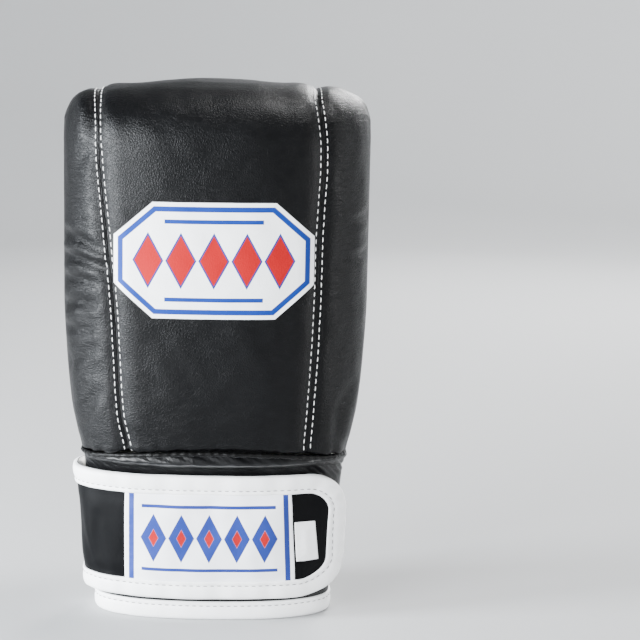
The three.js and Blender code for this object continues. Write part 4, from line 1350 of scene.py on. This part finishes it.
bar_path = strap_point(bar_t, bar_z, strap_outer + strap_relief(bar_t, bar_z))
add_stitches("strap_bar_stitches", [(bar_path, sleeve_out(bar_t, bar_z))], white_thread, 3.6, radius=0.26)


# Woven patch on the strap: white satin with a blue stripe along both ends and a plain woven
# ornament between, sewn down at its selvages. A small plain cloth tag is sewn on beside it.
label_left, label_right = -43.0, 39.0
label_low, label_high = strap_bottom + tape_width, strap_top - tape_width
patch_lean = 0.045
patch_middle = 44.0


def strap_plate(left, right, low, high, columns, rows, lift, seed):
    """Thin piece sewn flat on the strap's face."""
    x, z = np.meshgrid(np.linspace(left, right, columns), np.linspace(low, high, rows))
    t = back_place(x + patch_lean * (patch_middle - z) * smooth(0, 39, x), z)
    side_gap = np.minimum(x - left, right - x)
    rim_gap = np.minimum(side_gap, np.minimum(z - low, high - z))
    pillow = 0.16 * ripple(np.stack([x, 0 * x, z], axis=-1), 13, seed) * smooth(0, 5, rim_gap)
    pillow += 0.45 * smooth(0.4, 6, rim_gap) + 0.1 * np.sin(z * 2 * pi / 3.6) * hump((side_gap - 1.6) / 1.4)
    return strap_point(t, z, strap_outer + strap_relief(t, z) + lift + pillow)


satin = Finish("woven_patch_satin")
vector, px, py, pz = satin.place()
ends = abs(px + 2.0 - patch_lean * (patch_middle - pz) * px.step(0, 39))
stripe = ends.step(37.7, 37.95) * (1 - ends.step(40.4, 40.65))
folded = (px + 2.0 + 98.0).zigzag(7.0)
lozenge = folded * 1.5 + abs(pz - patch_middle) * 0.78
diamond = (10.0 - lozenge).step(0, 0.35) * (ends < 35.0)
heart = (3.8 - lozenge).step(0, 0.35) * (ends < 35.0)
rails = (1 - abs(abs(pz - patch_middle) - 16.4).step(0.75, 1.0)) * (ends < 34.0)
blue_share = stripe | (diamond * (1 - heart)) | rails
ribs = (pz * 11.0).wave()
weave = 0.5 + 0.35 * ribs + 0.15 * (px * 14.0).wave() * ribs
satin_colour = satin.blend(weave, (0.82, 0.83, 0.88), (0.93, 0.94, 0.97))
satin_colour = satin.blend(blue_share * (0.97 + 0.03 * weave), satin_colour, (0.004, 0.022, 0.19))
satin_colour = satin.blend(heart, satin_colour, (0.33, 0.006, 0.01))
satin_material = satin.close(
    Specular_IOR_Level=0.14,
    Base_Color=satin_colour,
    Roughness=0.42 + 0.1 * weave,
    Normal=satin.bump(weave, 0.1, 0.6),
)
label_grid = strap_plate(label_left, label_right, label_low, label_high, 150, 80, 0.7, 61)
add_piece("woven_patch", *shell(label_grid, 0.7), satin_material, "label_satin", ("label_patch",))

tag_cloth = Finish("plain_tag_cloth")
vector, px, py, pz = tag_cloth.place()
weave = 0.5 + 0.5 * (px * 10.0).wave()
tag_material = tag_cloth.close(
    Base_Color=tag_cloth.blend(weave, (0.84, 0.84, 0.85), (0.93, 0.93, 0.93)),
    Roughness=0.7,
    Normal=tag_cloth.bump(weave, 0.08, 0.5),
)
tag_left = label_right + 1.4
tag_grid = strap_plate(tag_left, tag_left + 9.2, 31.5, 51.5, 24, 44, 0.6, 62)
add_piece("small_tag", *shell(tag_grid, 0.6), tag_material, "tag_cloth", ("size_tag",))


# Hook and loop: a black pile patch, sewn to the cuff on the back of the hand, under the free end
# of the strap, which it holds. Only its edge can be seen, where the strap stands off the cuff.
patch_right = 0.8 * float(sleeve_half(patch_middle))
patch_x, patch_z = np.meshgrid(
    np.linspace(patch_right - 46, patch_right, 40), np.linspace(label_low, label_high, 40)
)
patch_grid = strap_point(back_place(patch_x, patch_z), patch_z, strap_inner - clearance)
pile = Finish("hook_and_loop_pile")
vector = pile.place()[0]
tufts = pile.noise(vector, 0.7, 4)
pile_material = pile.close(
    Base_Color=pile.blend(tufts, (0.004, 0.004, 0.004), (0.02, 0.02, 0.021)),
    Roughness=0.95,
    Normal=pile.bump(tufts, 0.5, 1.0),
)
add_piece("pile_patch", *shell(patch_grid, 0.8), pile_material, "black_fastener", ("fastener_patch",))
